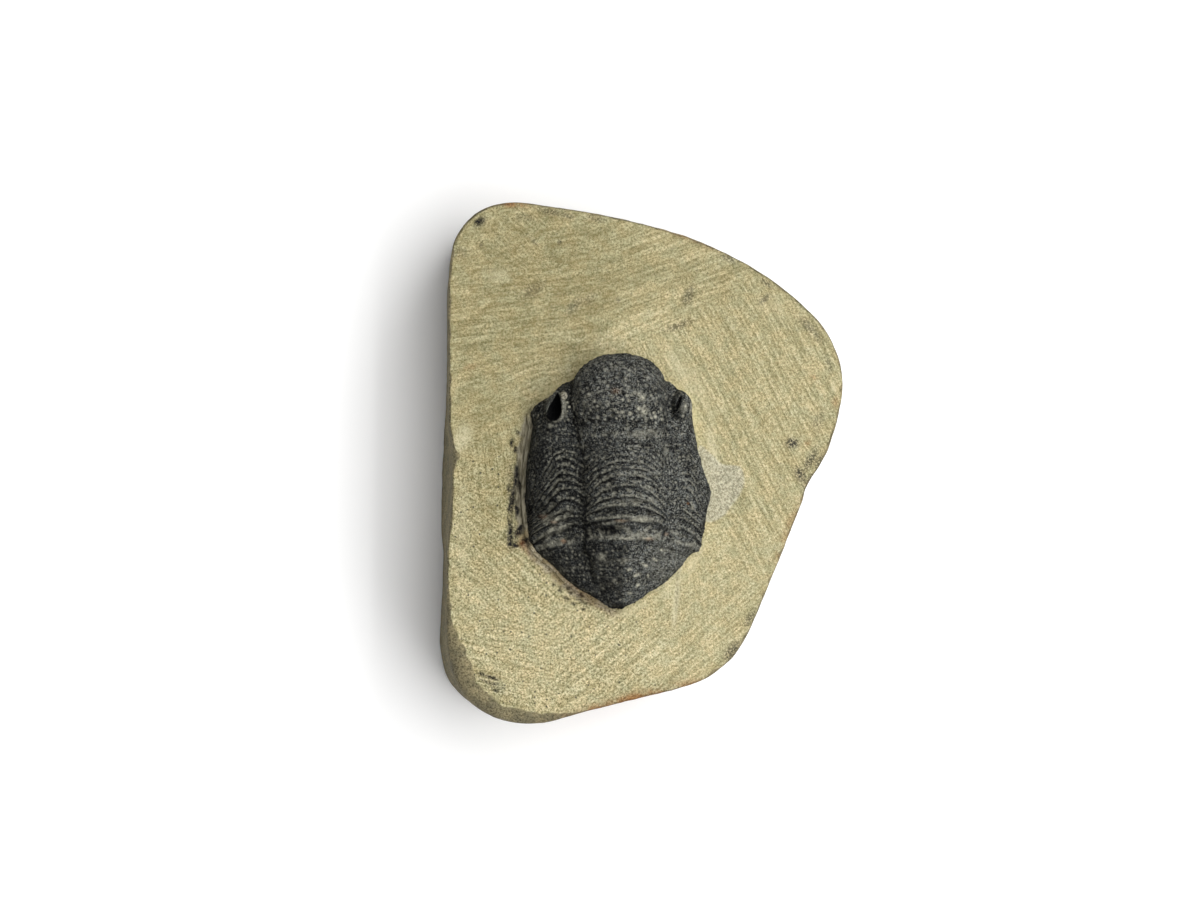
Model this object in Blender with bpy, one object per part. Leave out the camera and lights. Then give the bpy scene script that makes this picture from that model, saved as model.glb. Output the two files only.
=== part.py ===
"""A trilobite fossil lying in its block of matrix.

The block stands on its flat underside.  +Z is up, the trilobite's head points to +Y, and the origin is at
the middle of the underside.  Lengths here are in millimetres and become metres when a mesh is finished.
"""

import math

import bmesh
import bpy
import numpy as np

MM = 0.001

# Block of matrix
FACE_HEIGHT = 22.0
POCKET_GAP = 0.3
FOSSIL_CENTRE = (-4.1, -2.5)
FOSSIL_LIFT = 0.3
MOUND_HEIGHT = 0.8
MOUND_REACH = 2.6
EDGE_ROUND = 1.0
CHAMFER_EXTRA = 1.6
CHAMFER_HEADING = math.radians(230)
CHAMFER_SPREAD = math.radians(24)
CREASE_POINT = (-26.0, 1.5)
CREASE_HEADING = math.radians(30)
CREASE_FALL = 0.07
CREASE_BLEND = 2.5
AROUND = 108
FOOT_LEVELS = ((0.0, 0.7), (0.35, 0.2), (1.2, 0.0), (10.0, 0.0))
ROUND_STEPS = (0.0, 30.0, 60.0, 90.0)
FACE_STEPS = (0.3, 0.6, 0.85)
MOUND_STEPS = (1.0, 0.7, 0.4, 0.15, 0.0)

# Edge of the block, seen from above
BLOCK_EDGE = (
    (-25.9, 20.0), (-25.7, 25.2), (-24.5, 29.6), (-21.9, 32.9), (-18.1, 34.5), (-11.5, 33.8), (-2.0, 32.2),
    (8.0, 29.1), (16.7, 24.4), (23.8, 17.9), (26.3, 10.8), (24.4, 2.0), (21.6, -2.9), (20.5, -6.1),
    (16.5, -15.7), (12.9, -23.7), (9.5, -27.6), (4.4, -29.9), (-7.0, -32.6), (-14.0, -34.4),
    (-19.4, -34.0), (-23.9, -31.0), (-26.1, -26.0), (-26.2, -16.0), (-26.0, 2.0),
)

# Trilobite.  Stations run along the body: 0 is the front of the head, 1 the back of the head, then one for
# each of the 11 rings of the thorax, and 12 to 16 the tail shield.
HEAD_END = 1.0
THORAX_END = 12.0
TAIL_END = 16.0
AXIS_SHARE = 14 / 38
SHOULDER_SHARE = 0.5

# station, crest across, crest along, crest height
CREST = (
    (0.00, -0.1, 16.00, 0.6), (0.10, -0.1, 16.75, 3.0), (0.20, -0.2, 16.40, 5.4), (0.32, -0.3, 15.00, 7.6),
    (0.50, -0.3, 12.60, 9.0), (0.68, -0.3, 10.20, 9.1), (0.82, -0.2, 8.30, 8.3), (1.00, 0.0, 4.95, 7.9),
    (2.00, 0.1, 4.15, 8.0), (3.00, 0.2, 3.05, 8.2), (4.00, 0.2, 2.20, 8.3), (5.00, 0.3, 1.30, 8.4),
    (6.00, 0.3, 0.25, 8.4), (7.00, 0.3, -0.80, 8.3), (8.00, 0.3, -1.90, 8.2), (9.00, 0.3, -2.95, 8.0),
    (10.0, 0.3, -3.90, 7.8), (11.0, 0.3, -5.05, 7.5), (12.0, 0.3, -7.40, 6.9), (13.0, 0.3, -9.70, 6.1),
    (14.0, 0.2, -12.1, 4.9), (15.0, 0.0, -14.4, 3.4), (16.0, -0.2, -16.75, 1.2),
)

# station, distance of the axial furrow from the crest line, how far it lies behind the crest, its height
FURROW = (
    (0.00, 5.0, 3.10, 0.6), (0.10, 5.5, 3.40, 1.6), (0.20, 5.9, 3.40, 2.6), (0.32, 6.1, 2.80, 3.5),
    (0.50, 6.1, 1.70, 4.3), (0.68, 5.9, 0.90, 4.8), (0.82, 5.7, 0.50, 5.0), (1.00, 5.4, 0.45, 5.4),
    (2.00, 5.3, 0.90, 5.8), (3.00, 5.3, 1.30, 6.0), (4.00, 5.3, 1.60, 6.1), (8.00, 5.3, 1.60, 6.0),
    (10.0, 5.3, 1.10, 5.6), (11.0, 5.2, 0.70, 5.3), (12.0, 4.9, 0.40, 4.8), (13.0, 4.4, 0.50, 4.1),
    (14.0, 3.5, 0.50, 3.2), (15.0, 2.3, 0.35, 2.2), (16.0, 0.4, 0.00, 1.1),
)

# station, distance of the shoulder from the crest line, how far it lies behind the furrow, its height
SHOULDER = (
    (0.00, 6.1, 0.30, 0.6), (0.10, 6.9, 0.40, 1.3), (0.20, 7.5, 0.50, 2.1), (0.32, 8.0, 0.50, 3.1),
    (0.50, 8.4, 0.50, 4.0), (0.68, 8.5, 0.40, 4.4), (0.82, 8.6, 0.20, 4.5), (1.00, 8.8, 0.10, 4.8),
    (2.00, 8.9, 0.10, 5.0), (4.00, 9.0, 0.10, 5.3), (6.00, 8.8, 0.20, 5.3), (8.00, 8.4, 0.30, 5.1),
    (10.0, 7.9, 0.40, 4.7), (11.0, 7.6, 0.40, 4.4), (12.0, 7.1, 0.40, 3.9), (13.0, 6.4, 0.50, 3.2),
    (14.0, 5.0, 0.60, 2.5), (15.0, 3.1, 0.45, 1.8), (16.0, 0.6, 0.00, 1.0),
)

# station, margin across, margin along
LEFT_MARGIN = (
    (0.00, -7.2, 12.3), (0.30, -9.6, 10.6), (0.48, -11.7, 8.8), (0.58, -11.4, 7.4), (0.80, -11.8, 4.7),
    (1.00, -12.3, 0.9), (2.00, -12.4, -1.1), (3.00, -12.4, -2.3), (5.00, -12.3, -4.0), (7.00, -12.1, -5.4),
    (9.00, -12.0, -6.5), (10.0, -11.9, -7.1), (11.0, -11.6, -8.0), (12.0, -10.9, -9.2),
    (13.0, -9.0, -11.3), (14.0, -6.5, -13.7), (15.0, -3.2, -15.5), (16.0, -0.9, -16.6),
)
RIGHT_MARGIN = (
    (0.00, 6.7, 12.3), (0.30, 8.7, 10.9), (0.48, 9.8, 9.3), (0.58, 9.9, 7.8), (0.80, 10.3, 4.9),
    (1.00, 11.1, 1.0), (2.00, 11.9, -1.0), (3.00, 12.3, -2.2), (4.00, 12.1, -3.2), (5.00, 11.9, -4.0),
    (7.00, 11.7, -5.4), (9.00, 11.5, -6.5), (10.0, 11.4, -7.1), (11.0, 11.2, -8.0), (12.0, 10.9, -9.2),
    (12.15, 9.9, -9.5), (13.0, 8.3, -11.4), (14.0, 5.9, -13.6), (15.0, 2.9, -15.3), (16.0, 0.5, -16.6),
)
MARGIN_HEIGHT = 0.6
OUTER_BULGE = 0.2
SKIRT_DEPTH = 0.9

# Relief of the rings and ribs, on the axis and on the sides
AXIS_RING_RELIEF = 0.30
SIDE_RING_RELIEF = 0.30
LAST_RING_EXTRA = 0.20
TAIL_RING_RELIEF = 0.14
OCCIPITAL_STATION = 0.845
OCCIPITAL_DEPTH = 0.75
OCCIPITAL_WIDTH = 0.035
OCCIPITAL_RING_RISE = 0.45
AXIAL_FURROW_DEPTH = 0.35
AXIAL_FURROW_WIDTH = 0.035
TIP_RISE = 0.5
TIP_CENTRE = (-0.2, -16.2)
TIP_RADIUS = 0.8

# Eyes are egg-shaped: centre across, along and up, then half width, half length and half height.  The left
# one is a hollow socket, and a groove runs down the right one, inside its lens.
LEFT_EYE = (-8.75, 9.7, 3.4, 1.4, 2.25, 3.5)
LEFT_SOCKET = (-8.85, 9.75, 7.1, 0.85, 1.8, 2.6)
RIGHT_EYE = (7.95, 10.0, 3.4, 1.35, 1.95, 3.5)
RIGHT_GROOVE = (7.55, 10.1, 7.0, 0.38, 1.25, 1.3)
EYE_TAPER = 0.12
SOCKET_TAPER = 0.35
EYE_SEGMENTS = 20
EYE_RINGS = 12

# Rows and columns of the trilobite's surface
HEAD_ROWS = 24
RING_STEPS = (0.0, 0.35, 0.88)
TAIL_ROWS = 13
COLUMNS = 38
TIP_MERGE = 0.06


def smooth_through(table, stations):
    """Read each column of a table at the stations, on smooth curves that never overshoot its rows."""
    table = np.array(table, dtype=float)
    knots = table[:, 0]
    values = table[:, 1:]
    step = np.diff(knots)[:, None]
    rise = np.diff(values, axis=0) / step
    slope = np.zeros_like(values)
    slope[0] = rise[0]
    slope[-1] = rise[-1]
    before, after = rise[:-1], rise[1:]
    agree = before * after > 0
    total = np.where(agree, before + after, 1.0)
    slope[1:-1] = np.where(agree, 2 * before * after / total, 0.0)
    stations = np.clip(stations, knots[0], knots[-1])
    cell = np.clip(np.searchsorted(knots, stations, side="right") - 1, 0, len(knots) - 2)
    length = step[cell]
    t = ((stations - knots[cell]) / length[..., 0])[..., None]
    start, end = values[cell], values[cell + 1]
    lean_out, lean_in = slope[cell] * length, slope[cell + 1] * length
    curve = (
        start * (2 * t**3 - 3 * t**2 + 1) + lean_out * (t**3 - 2 * t**2 + t)
        + end * (3 * t**2 - 2 * t**3) + lean_in * (t**3 - t**2)
    )
    return np.moveaxis(curve, -1, 0)


def closed_curve(points, count):
    """Return count points of a smooth closed curve through the points given."""
    points = np.array(points, dtype=float)
    place = np.arange(count) * len(points) / count
    cell = place.astype(int)
    t = (place - cell)[:, None]
    p0, p1, p2, p3 = (np.roll(points, 1 - k, axis=0)[cell] for k in range(4))
    return 0.5 * (2 * p1 + (p2 - p0) * t + (2 * p0 - 5 * p1 + 4 * p2 - p3) * t**2
                  + (3 * p1 - p0 - 3 * p2 + p3) * t**3)


def ease(low, high, value):
    """Rise smoothly from 0 at low to 1 at high."""
    t = np.clip((value - low) / (high - low), 0.0, 1.0)
    return t * t * (3 - 2 * t)


def ridge(value, middle, width):
    """A bell-shaped ridge of height 1."""
    return np.exp(-(((value - middle) / width) ** 2))


def body_surface(station, across):
    """Return the smooth body's place across, along and up; across runs from -1 to 1 over its width."""
    crest_x, crest_y, crest_z = smooth_through(CREST, station)
    half_axis, back, furrow_z = smooth_through(FURROW, station)
    reach, lag, shoulder_z = smooth_through(SHOULDER, station)
    left_x, left_y = smooth_through(LEFT_MARGIN, station)
    right_x, right_y = smooth_through(RIGHT_MARGIN, station)
    side = np.where(across < 0, -1.0, 1.0)
    margin_x = np.where(across < 0, left_x, right_x)
    margin_y = np.where(across < 0, left_y, right_y)
    furrow_x, furrow_y = crest_x + side * half_axis, crest_y - back
    shoulder_x, shoulder_y = crest_x + side * reach, furrow_y - lag

    turn = np.clip(np.abs(across) / AXIS_SHARE, 0.0, 1.0) * math.pi / 2
    flank = np.clip((np.abs(across) - AXIS_SHARE) / (1 - AXIS_SHARE), 0.0, 1.0)
    inner = np.clip(flank / SHOULDER_SHARE, 0.0, 1.0)
    bend = np.clip((flank - SHOULDER_SHARE) / (1 - SHOULDER_SHARE), 0.0, 1.0) * math.pi / 2
    outer = np.sin(bend)
    drop = (1 - OUTER_BULGE) * (1 - np.cos(bend)) + OUTER_BULGE * np.sin(bend)

    x = crest_x + side * half_axis * np.sin(turn)
    x += (shoulder_x - furrow_x) * inner + (margin_x - shoulder_x) * outer
    y = furrow_y + back * np.cos(turn) + (shoulder_y - furrow_y) * inner + (margin_y - shoulder_y) * outer
    z = furrow_z + (crest_z - furrow_z) * np.cos(turn)
    z += (shoulder_z - furrow_z) * inner + (MARGIN_HEIGHT - shoulder_z) * drop
    return np.stack((x, y, z), axis=-1)


def ring_steps(station):
    """Each ring rises towards its back edge and drops sharply to the next one."""
    phase = station % 1.0
    return ease(0.0, 0.55, phase) * (1 - ease(0.9, 1.0, phase))


def relief(station, across):
    """Height of the rings, ribs and furrows above the smooth body."""
    width = np.abs(across)
    on_axis = 1 - ease(AXIS_SHARE - 0.02, AXIS_SHARE + 0.02, width)
    on_side = (1 - on_axis) * (1 - ease(0.93, 1.0, width))
    in_thorax = (station >= HEAD_END) & (station < THORAX_END)
    in_tail = (station >= THORAX_END) * (1 - ease(14.6, 15.4, station))
    last_rings = ease(8.5, 10.5, station) * LAST_RING_EXTRA
    rings = ring_steps(station)
    height = in_thorax * rings * (on_axis * (AXIS_RING_RELIEF + last_rings)
                                  + on_side * (SIDE_RING_RELIEF + last_rings))
    height += in_tail * rings * TAIL_RING_RELIEF * (on_axis + on_side * (1 - ease(0.7, 0.85, width)))
    occipital = ridge(station, OCCIPITAL_STATION, OCCIPITAL_WIDTH)
    height -= OCCIPITAL_DEPTH * occipital * (on_axis + 0.5 * on_side)
    height += OCCIPITAL_RING_RISE * ridge(station, 0.93, 0.05) * (on_axis + 0.4 * on_side)
    furrow = ridge(width, AXIS_SHARE, AXIAL_FURROW_WIDTH) * ease(0.1, 0.3, station)
    height -= AXIAL_FURROW_DEPTH * furrow * (1 - ease(14.0, 15.5, station))
    return height


def raise_along_normals(points, height):
    """Move a grid of points along its own normals."""
    normal = np.cross(np.gradient(points, axis=1), np.gradient(points, axis=0))
    normal /= np.maximum(np.linalg.norm(normal, axis=-1, keepdims=True), 1e-9)
    return points + normal * height[..., None]


def raise_tip(points):
    """Raise the small knob at the end of the tail."""
    points = points.copy()
    distance = np.hypot(points[..., 0] - TIP_CENTRE[0], points[..., 1] - TIP_CENTRE[1])
    points[..., 2] += TIP_RISE * (1 - ease(0.0, TIP_RADIUS, distance))
    return points


def fossil_stations():
    """Rows along the body, closer together where its shape turns faster."""
    head = HEAD_END * np.linspace(0.0, 1.0, HEAD_ROWS, endpoint=False)
    rings = [ring + step for ring in range(int(HEAD_END), int(THORAX_END)) for step in RING_STEPS]
    tail = np.linspace(THORAX_END, TAIL_END, TAIL_ROWS)
    return np.concatenate((head, rings, tail))


def fossil_points():
    """The grid of points on the trilobite's upper surface, around its own centre."""
    station, across = np.meshgrid(fossil_stations(), np.linspace(-1.0, 1.0, COLUMNS + 1), indexing="ij")
    points = raise_along_normals(body_surface(station, across), relief(station, across))
    return raise_tip(points)


def fossil_outline():
    """The trilobite's edge seen from above, as a closed line of points around its own centre."""
    stations = np.linspace(0.0, TAIL_END, 161)
    front = np.linspace(-1.0, 1.0, 41)
    front_edge = body_surface(np.zeros_like(front), front)[:, :2]
    right_edge = body_surface(stations, np.ones_like(stations))[:, :2]
    left_edge = body_surface(stations, -np.ones_like(stations))[:, :2]
    return np.concatenate((front_edge, right_edge[1:], left_edge[:0:-1]))


def offset_outline(outline, distance):
    """Move a closed anticlockwise outline outwards by a distance, or inwards where it is negative."""
    along = np.roll(outline, -1, axis=0) - np.roll(outline, 1, axis=0)
    outward = np.stack((along[:, 1], -along[:, 0]), axis=-1)
    outward /= np.linalg.norm(outward, axis=-1, keepdims=True)
    return outline + outward * np.reshape(distance, (-1, 1))


def headings_of(outline):
    """Direction of each point of an outline, seen from the trilobite's centre."""
    return np.arctan2(outline[:, 1] - FOSSIL_CENTRE[1], outline[:, 0] - FOSSIL_CENTRE[0])


def cast(outline, headings):
    """Where rays from the trilobite's centre meet an outline, in the headings given."""
    angles = headings_of(outline)
    radii = np.hypot(outline[:, 0] - FOSSIL_CENTRE[0], outline[:, 1] - FOSSIL_CENTRE[1])
    order = np.argsort(angles)
    reach = np.interp(headings, angles[order], radii[order], period=2 * math.pi)
    rays = np.stack((np.cos(headings), np.sin(headings)), axis=-1)
    return np.array(FOSSIL_CENTRE) + rays * reach[:, None]


def evenly_spaced(outline, count):
    """Points of a closed outline at equal distances along it."""
    closed = np.vstack((outline, outline[:1]))
    travelled = np.concatenate(([0.0], np.cumsum(np.linalg.norm(np.diff(closed, axis=0), axis=1))))
    stops = np.linspace(0.0, travelled[-1], count, endpoint=False)
    return np.stack([np.interp(stops, travelled, closed[:, axis]) for axis in (0, 1)], axis=-1)


def block_edge():
    """The block's edge seen from above, anticlockwise, with the middle of its box at the origin."""
    edge = closed_curve(BLOCK_EDGE[::-1], 960)
    return edge - (edge.max(axis=0) + edge.min(axis=0)) / 2


def face_height(points):
    """Height of the scraped face: level, and falling away gently past the crease."""
    ahead = -math.sin(CREASE_HEADING) * (points[:, 0] - CREASE_POINT[0])
    ahead += math.cos(CREASE_HEADING) * (points[:, 1] - CREASE_POINT[1])
    return FACE_HEIGHT - CREASE_FALL * CREASE_BLEND * np.logaddexp(0.0, ahead / CREASE_BLEND)


def block_rings():
    """Closed rings of points from the edge of the underside, up the wall and in over the face."""
    edge = block_edge()
    headings = headings_of(evenly_spaced(edge, AROUND))
    turn = np.angle(np.exp(1j * (headings_of(edge) - CHAMFER_HEADING)))
    rounding = EDGE_ROUND + CHAMFER_EXTRA * ridge(turn, 0.0, CHAMFER_SPREAD)
    edge_top = face_height(edge)

    def ring(outline, heights):
        plan = cast(outline, headings)
        level = np.interp(headings, *sorted_by_heading(outline, heights), period=2 * math.pi)
        return np.column_stack((plan, level))

    rings = [ring(offset_outline(edge, -inset), np.full(len(edge), level)) for level, inset in FOOT_LEVELS]
    for step in np.radians(ROUND_STEPS):
        inset = rounding * (1 - math.cos(step))
        rings.append(ring(offset_outline(edge, -inset), edge_top - rounding * (1 - math.sin(step))))

    lip = offset_outline(fossil_outline() + np.array(FOSSIL_CENTRE), POCKET_GAP)
    mound_foot = cast(offset_outline(lip, MOUND_REACH), headings)
    rim = rings[-1][:, :2]
    for step in FACE_STEPS:
        plan = rim + (mound_foot - rim) * step
        rings.append(np.column_stack((plan, face_height(plan))))
    for step in MOUND_STEPS:
        plan = cast(offset_outline(lip, MOUND_REACH * step), headings)
        rings.append(np.column_stack((plan, face_height(plan) + MOUND_HEIGHT * (1 - ease(0.0, 1.0, step)))))
    floor = np.full(len(plan), FACE_HEIGHT + FOSSIL_LIFT - SKIRT_DEPTH + MARGIN_HEIGHT - POCKET_GAP)
    rings.append(np.column_stack((plan, floor)))
    return rings


def sorted_by_heading(outline, heights):
    """Headings and heights of an outline's points, in order of heading."""
    angles = headings_of(outline)
    order = np.argsort(angles)
    return angles[order], heights[order]


def make_material(name, colour, roughness):
    """A plain opaque material."""
    material = bpy.data.materials.new(name)
    material.use_nodes = True
    shader = material.node_tree.nodes["Principled BSDF"]
    shader.inputs["Base Color"].default_value = (*colour, 1.0)
    shader.inputs["Roughness"].default_value = roughness
    shader.inputs["Metallic"].default_value = 0.0
    return material


def make_object(name, bm, material, collection):
    """Turn millimetres into metres and put the finished mesh into the collection."""
    bmesh.ops.recalc_face_normals(bm, faces=bm.faces)
    bmesh.ops.scale(bm, vec=(MM, MM, MM), verts=bm.verts)
    mesh = bpy.data.meshes.new(name)
    bm.to_mesh(mesh)
    bm.free()
    if material:
        mesh.materials.append(material)
    mesh.shade_smooth()
    mesh.set_sharp_from_angle(angle=math.radians(50))
    piece = bpy.data.objects.new(name, mesh)
    collection.objects.link(piece)
    return piece


def make_egg(name, place, taper, cutters):
    """An egg-shaped tool for a Boolean, narrower towards the head."""
    bm = bmesh.new()
    bmesh.ops.create_uvsphere(bm, u_segments=EYE_SEGMENTS, v_segments=EYE_RINGS, radius=1.0)
    for vertex in bm.verts:
        vertex.co.x *= 1 - taper * vertex.co.y
    across, along, up, *half_sizes = place
    middle = (FOSSIL_CENTRE[0] + across, FOSSIL_CENTRE[1] + along, FACE_HEIGHT + FOSSIL_LIFT + up)
    bmesh.ops.scale(bm, vec=half_sizes, verts=bm.verts)
    bmesh.ops.translate(bm, vec=middle, verts=bm.verts)
    egg = make_object(name, bm, None, cutters)
    egg.hide_render = True
    egg.display_type = "WIRE"
    return egg


def combine(piece, tool, operation):
    """Join a tool to a piece, or cut it away."""
    boolean = piece.modifiers.new(tool.name, "BOOLEAN")
    boolean.operation = operation
    boolean.solver = "EXACT"
    boolean.object = tool


def make_trilobite(collection, cutters):
    """The fossil: a grid bent over the animal, closed by a short skirt and a flat underside, with eyes."""
    points = fossil_points()
    rows, columns = points.shape[0] - 1, points.shape[1] - 1
    bm = bmesh.new()
    bmesh.ops.create_grid(bm, x_segments=columns, y_segments=rows, size=1.0)
    for vertex in bm.verts:
        column = round((vertex.co.x + 1) / 2 * columns)
        row = round((vertex.co.y + 1) / 2 * rows)
        vertex.co = points[row, column]
    bmesh.ops.remove_doubles(bm, verts=bm.verts, dist=TIP_MERGE)
    rim = [edge for edge in bm.edges if edge.is_boundary]
    skirt = bmesh.ops.extrude_edge_only(bm, edges=rim)["geom"]
    for vertex in (item for item in skirt if isinstance(item, bmesh.types.BMVert)):
        vertex.co.z = MARGIN_HEIGHT - SKIRT_DEPTH
    bmesh.ops.contextual_create(bm, geom=[item for item in skirt if isinstance(item, bmesh.types.BMEdge)])
    bmesh.ops.translate(bm, vec=(*FOSSIL_CENTRE, FACE_HEIGHT + FOSSIL_LIFT), verts=bm.verts)
    fossil = make_object("trilobite", bm, make_material("dark_fossil", (0.075, 0.075, 0.07), 0.6), collection)
    combine(fossil, make_egg("left_eye", LEFT_EYE, EYE_TAPER, cutters), "UNION")
    combine(fossil, make_egg("right_eye", RIGHT_EYE, EYE_TAPER, cutters), "UNION")
    combine(fossil, make_egg("left_socket", LEFT_SOCKET, SOCKET_TAPER, cutters), "DIFFERENCE")
    combine(fossil, make_egg("right_groove", RIGHT_GROOVE, 0.0, cutters), "DIFFERENCE")


def make_matrix(collection):
    """The block: a loft from its underside over the wall and face into the pocket of the fossil."""
    bm = bmesh.new()
    loops = [[bm.verts.new(point) for point in ring] for ring in block_rings()]
    for lower, upper in zip(loops, loops[1:]):
        for here in range(AROUND):
            after = (here + 1) % AROUND
            bm.faces.new((lower[here], lower[after], upper[after], upper[here]))
    bm.faces.new(loops[0])
    bm.faces.new(loops[-1])
    make_object("matrix", bm, make_material("pale_matrix", (0.46, 0.41, 0.25), 0.85), collection)


def main():
    for old in list(bpy.data.objects):
        bpy.data.objects.remove(old)
    collection = bpy.data.collections.new("trilobite_fossil")
    bpy.context.scene.collection.children.link(collection)
    cutters = bpy.data.collections.new("cutters")
    bpy.context.scene.collection.children.link(cutters)
    make_matrix(collection)
    make_trilobite(collection, cutters)


main()
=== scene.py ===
"""The looks of a trilobite fossil lying in its block of matrix.

Both stones are modelled in millimetres, in the frame's own axes: +Z is up, the trilobite's head points to
+Y, and the origin is at the middle of the block's underside.  They become metres when a mesh is finished.
"""

import itertools
import math

import bmesh
import bpy
import numpy as np
from mathutils import Matrix, Vector, kdtree, noise


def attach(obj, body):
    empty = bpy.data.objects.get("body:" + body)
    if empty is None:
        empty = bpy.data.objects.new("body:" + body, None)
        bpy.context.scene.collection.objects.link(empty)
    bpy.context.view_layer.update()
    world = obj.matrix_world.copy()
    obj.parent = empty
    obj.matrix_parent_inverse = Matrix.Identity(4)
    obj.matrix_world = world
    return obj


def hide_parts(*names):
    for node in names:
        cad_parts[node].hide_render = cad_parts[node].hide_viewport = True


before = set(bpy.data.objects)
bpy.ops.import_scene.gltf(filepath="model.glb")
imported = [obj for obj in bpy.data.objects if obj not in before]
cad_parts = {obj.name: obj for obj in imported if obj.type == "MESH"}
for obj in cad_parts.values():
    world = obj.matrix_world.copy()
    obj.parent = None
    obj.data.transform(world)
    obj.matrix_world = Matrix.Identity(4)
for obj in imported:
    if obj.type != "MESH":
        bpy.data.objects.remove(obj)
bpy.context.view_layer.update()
MM = 0.001
SEED = 11
NEIGHBOURS = tuple(itertools.product((-1, 0, 1), repeat=3))

# Shine of fossil and stone, and the depth of their finest grain
FOSSIL_SHINE = 0.06
STONE_SHINE = 0.25
FOSSIL_GRAIN = 0.2
STONE_GRAIN = 0.24

# Camera: what it looks at, how far it leans to the left and towards the viewer, and its distance
TARGET = (-6.4, 1.65, 22.0)
LEAN_LEFT = math.radians(7)
LEAN_NEAR = math.radians(1)
CAMERA_DISTANCE = 439.0
LENS = 100.0
SENSOR = 36.0

# Softboxes: name, heading and elevation in degrees, length along the block, power in watts
LIGHTS = (("key", 6, 58, 1800.0, 9.6), ("top", 0, 82, 1000.0, 5.8))
LIGHT_DISTANCE = 900.0
LIGHT_WIDTH = 420.0
WORLD_LIGHT = 0.12
FLOOR_GLOW = 0.125
FLOOR_REACH = 3000.0

# Block of matrix, as in the part's source: its face, the fossil's place on it, and the mound round it
FACE_HEIGHT = 22.0
FOSSIL_CENTRE = (-4.1, -2.5)
FOSSIL_LIFT = 0.3
MOUND_HEIGHT = 0.8
MOUND_REACH = 2.6

# The block's edge by heading from the trilobite, in degrees: how far it bulges out at the top, how far
# its foot is undercut, and the rounding of its upper edge, which widens to a chamfer at the near left
EDGE_SHAPE = (
    (0, 0, 0, 0.28), (100, 0, 0, 0.28), (111, 0, 0.4, 0.28), (118, 0.7, 0.9, 0.28), (123, 0.9, 1.2, 0.28),
    (128, 0.52, 1.25, 0.28), (140, 0.48, 1.3, 0.28), (155, 0.5, 1.1, 0.3), (161, 0.45, 0.9, 0.3),
    (166, 0.1, 0.5, 0.3), (169, 0, 0.4, 0.5), (171, 0, 0.3, 1), (174, 0, 0.25, 0.5), (178, 0, 0.2, 0.28),
    (186, 0, 0.2, 0.28), (197, 0.3, 0.5, 0.28), (204, 0.5, 1, 0.28), (212, 0.5, 1, 0.3),
    (217, 0.5, 0.9, 0.6), (221, 0.4, 0.7, 1), (225, 0.25, 0.4, 1.6), (229, 0.05, 0.2, 2.1),
    (234, 0, 0, 1.95), (241, 0, 0, 1.7), (246, 0, 0, 1.6), (250, 0, 0, 1.4), (254, 0, 0, 1),
    (259, 0, 0, 0.5), (264, 0, 0, 0.28), (360, 0, 0, 0.28),
)

# The crease across the face, and how gently the face falls away past it
CREASE_POINT = (-26.0, 1.5)
CREASE_HEADING = math.radians(30)
CREASE_FALL = 0.07
CREASE_BLEND = 2.5

# Edge of the block, seen from above
BLOCK_EDGE = (
    (-25.9, 20), (-25.7, 25.2), (-24.5, 29.6), (-21.9, 32.9), (-18.1, 34.5), (-11.5, 33.8), (-2, 32.2),
    (8, 29.1), (16.7, 24.4), (23.8, 17.9), (26.3, 10.8), (24.4, 2), (21.6, -2.9), (20.5, -6.1),
    (16.5, -15.7), (12.9, -23.7), (9.5, -27.6), (4.4, -29.9), (-7, -32.6), (-14, -34.4), (-19.4, -34),
    (-23.9, -31), (-26.1, -26), (-26.2, -16), (-26, 2),
)

# Points along the edges of block and fossil, and rings of the block's surface: points round each, level and
# inset of those at its foot, and how many are on each stretch.  The innermost go down into the pocket.
EDGE_POINTS = 1920
FRONT_POINTS = 41
SIDE_POINTS = 161
AROUND = 780
FOOT_LEVELS = ((0.0, 0.7), (0.12, 0.42), (0.35, 0.2), (0.7, 0.06), (1.2, 0.0))
WALL_RINGS = 26
ROUND_RINGS = 11
FACE_RINGS = 70
MOUND_RINGS = 13
SEAT_INSET = 0.35
SEAT_DEPTH = 1.2

# Trilobite, as in the part's source.  Stations run along the body: 0 is the front of the head, 1 its back,
# 12 the back of the thorax and 16 the tip of the tail.
HEAD_END = 1.0
THORAX_END = 12.0
TAIL_END = 16.0
AXIS_SHARE = 14 / 38
SHOULDER_SHARE = 0.5

# station, crest across, crest along, crest height
CREST = (
    (0, -0.1, 16, 0.6), (0.1, -0.1, 16.75, 3), (0.2, -0.2, 16.4, 5.4), (0.32, -0.3, 15, 7.6),
    (0.5, -0.3, 12.6, 9), (0.68, -0.3, 10.2, 9.1), (0.82, -0.2, 8.3, 8.3), (1, 0, 4.95, 7.9),
    (2, 0.1, 4.15, 8), (3, 0.2, 3.05, 8.2), (4, 0.2, 2.2, 8.3), (5, 0.3, 1.3, 8.4), (6, 0.3, 0.25, 8.4),
    (7, 0.3, -0.8, 8.3), (8, 0.3, -1.9, 8.2), (9, 0.3, -2.95, 8), (10, 0.3, -3.9, 7.8),
    (11, 0.3, -5.05, 7.5), (12, 0.3, -7.4, 6.9), (13, 0.3, -9.7, 6.1), (14, 0.2, -12.1, 4.9),
    (15, 0, -14.4, 3.4), (16, -0.2, -16.75, 1.2),
)

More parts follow.
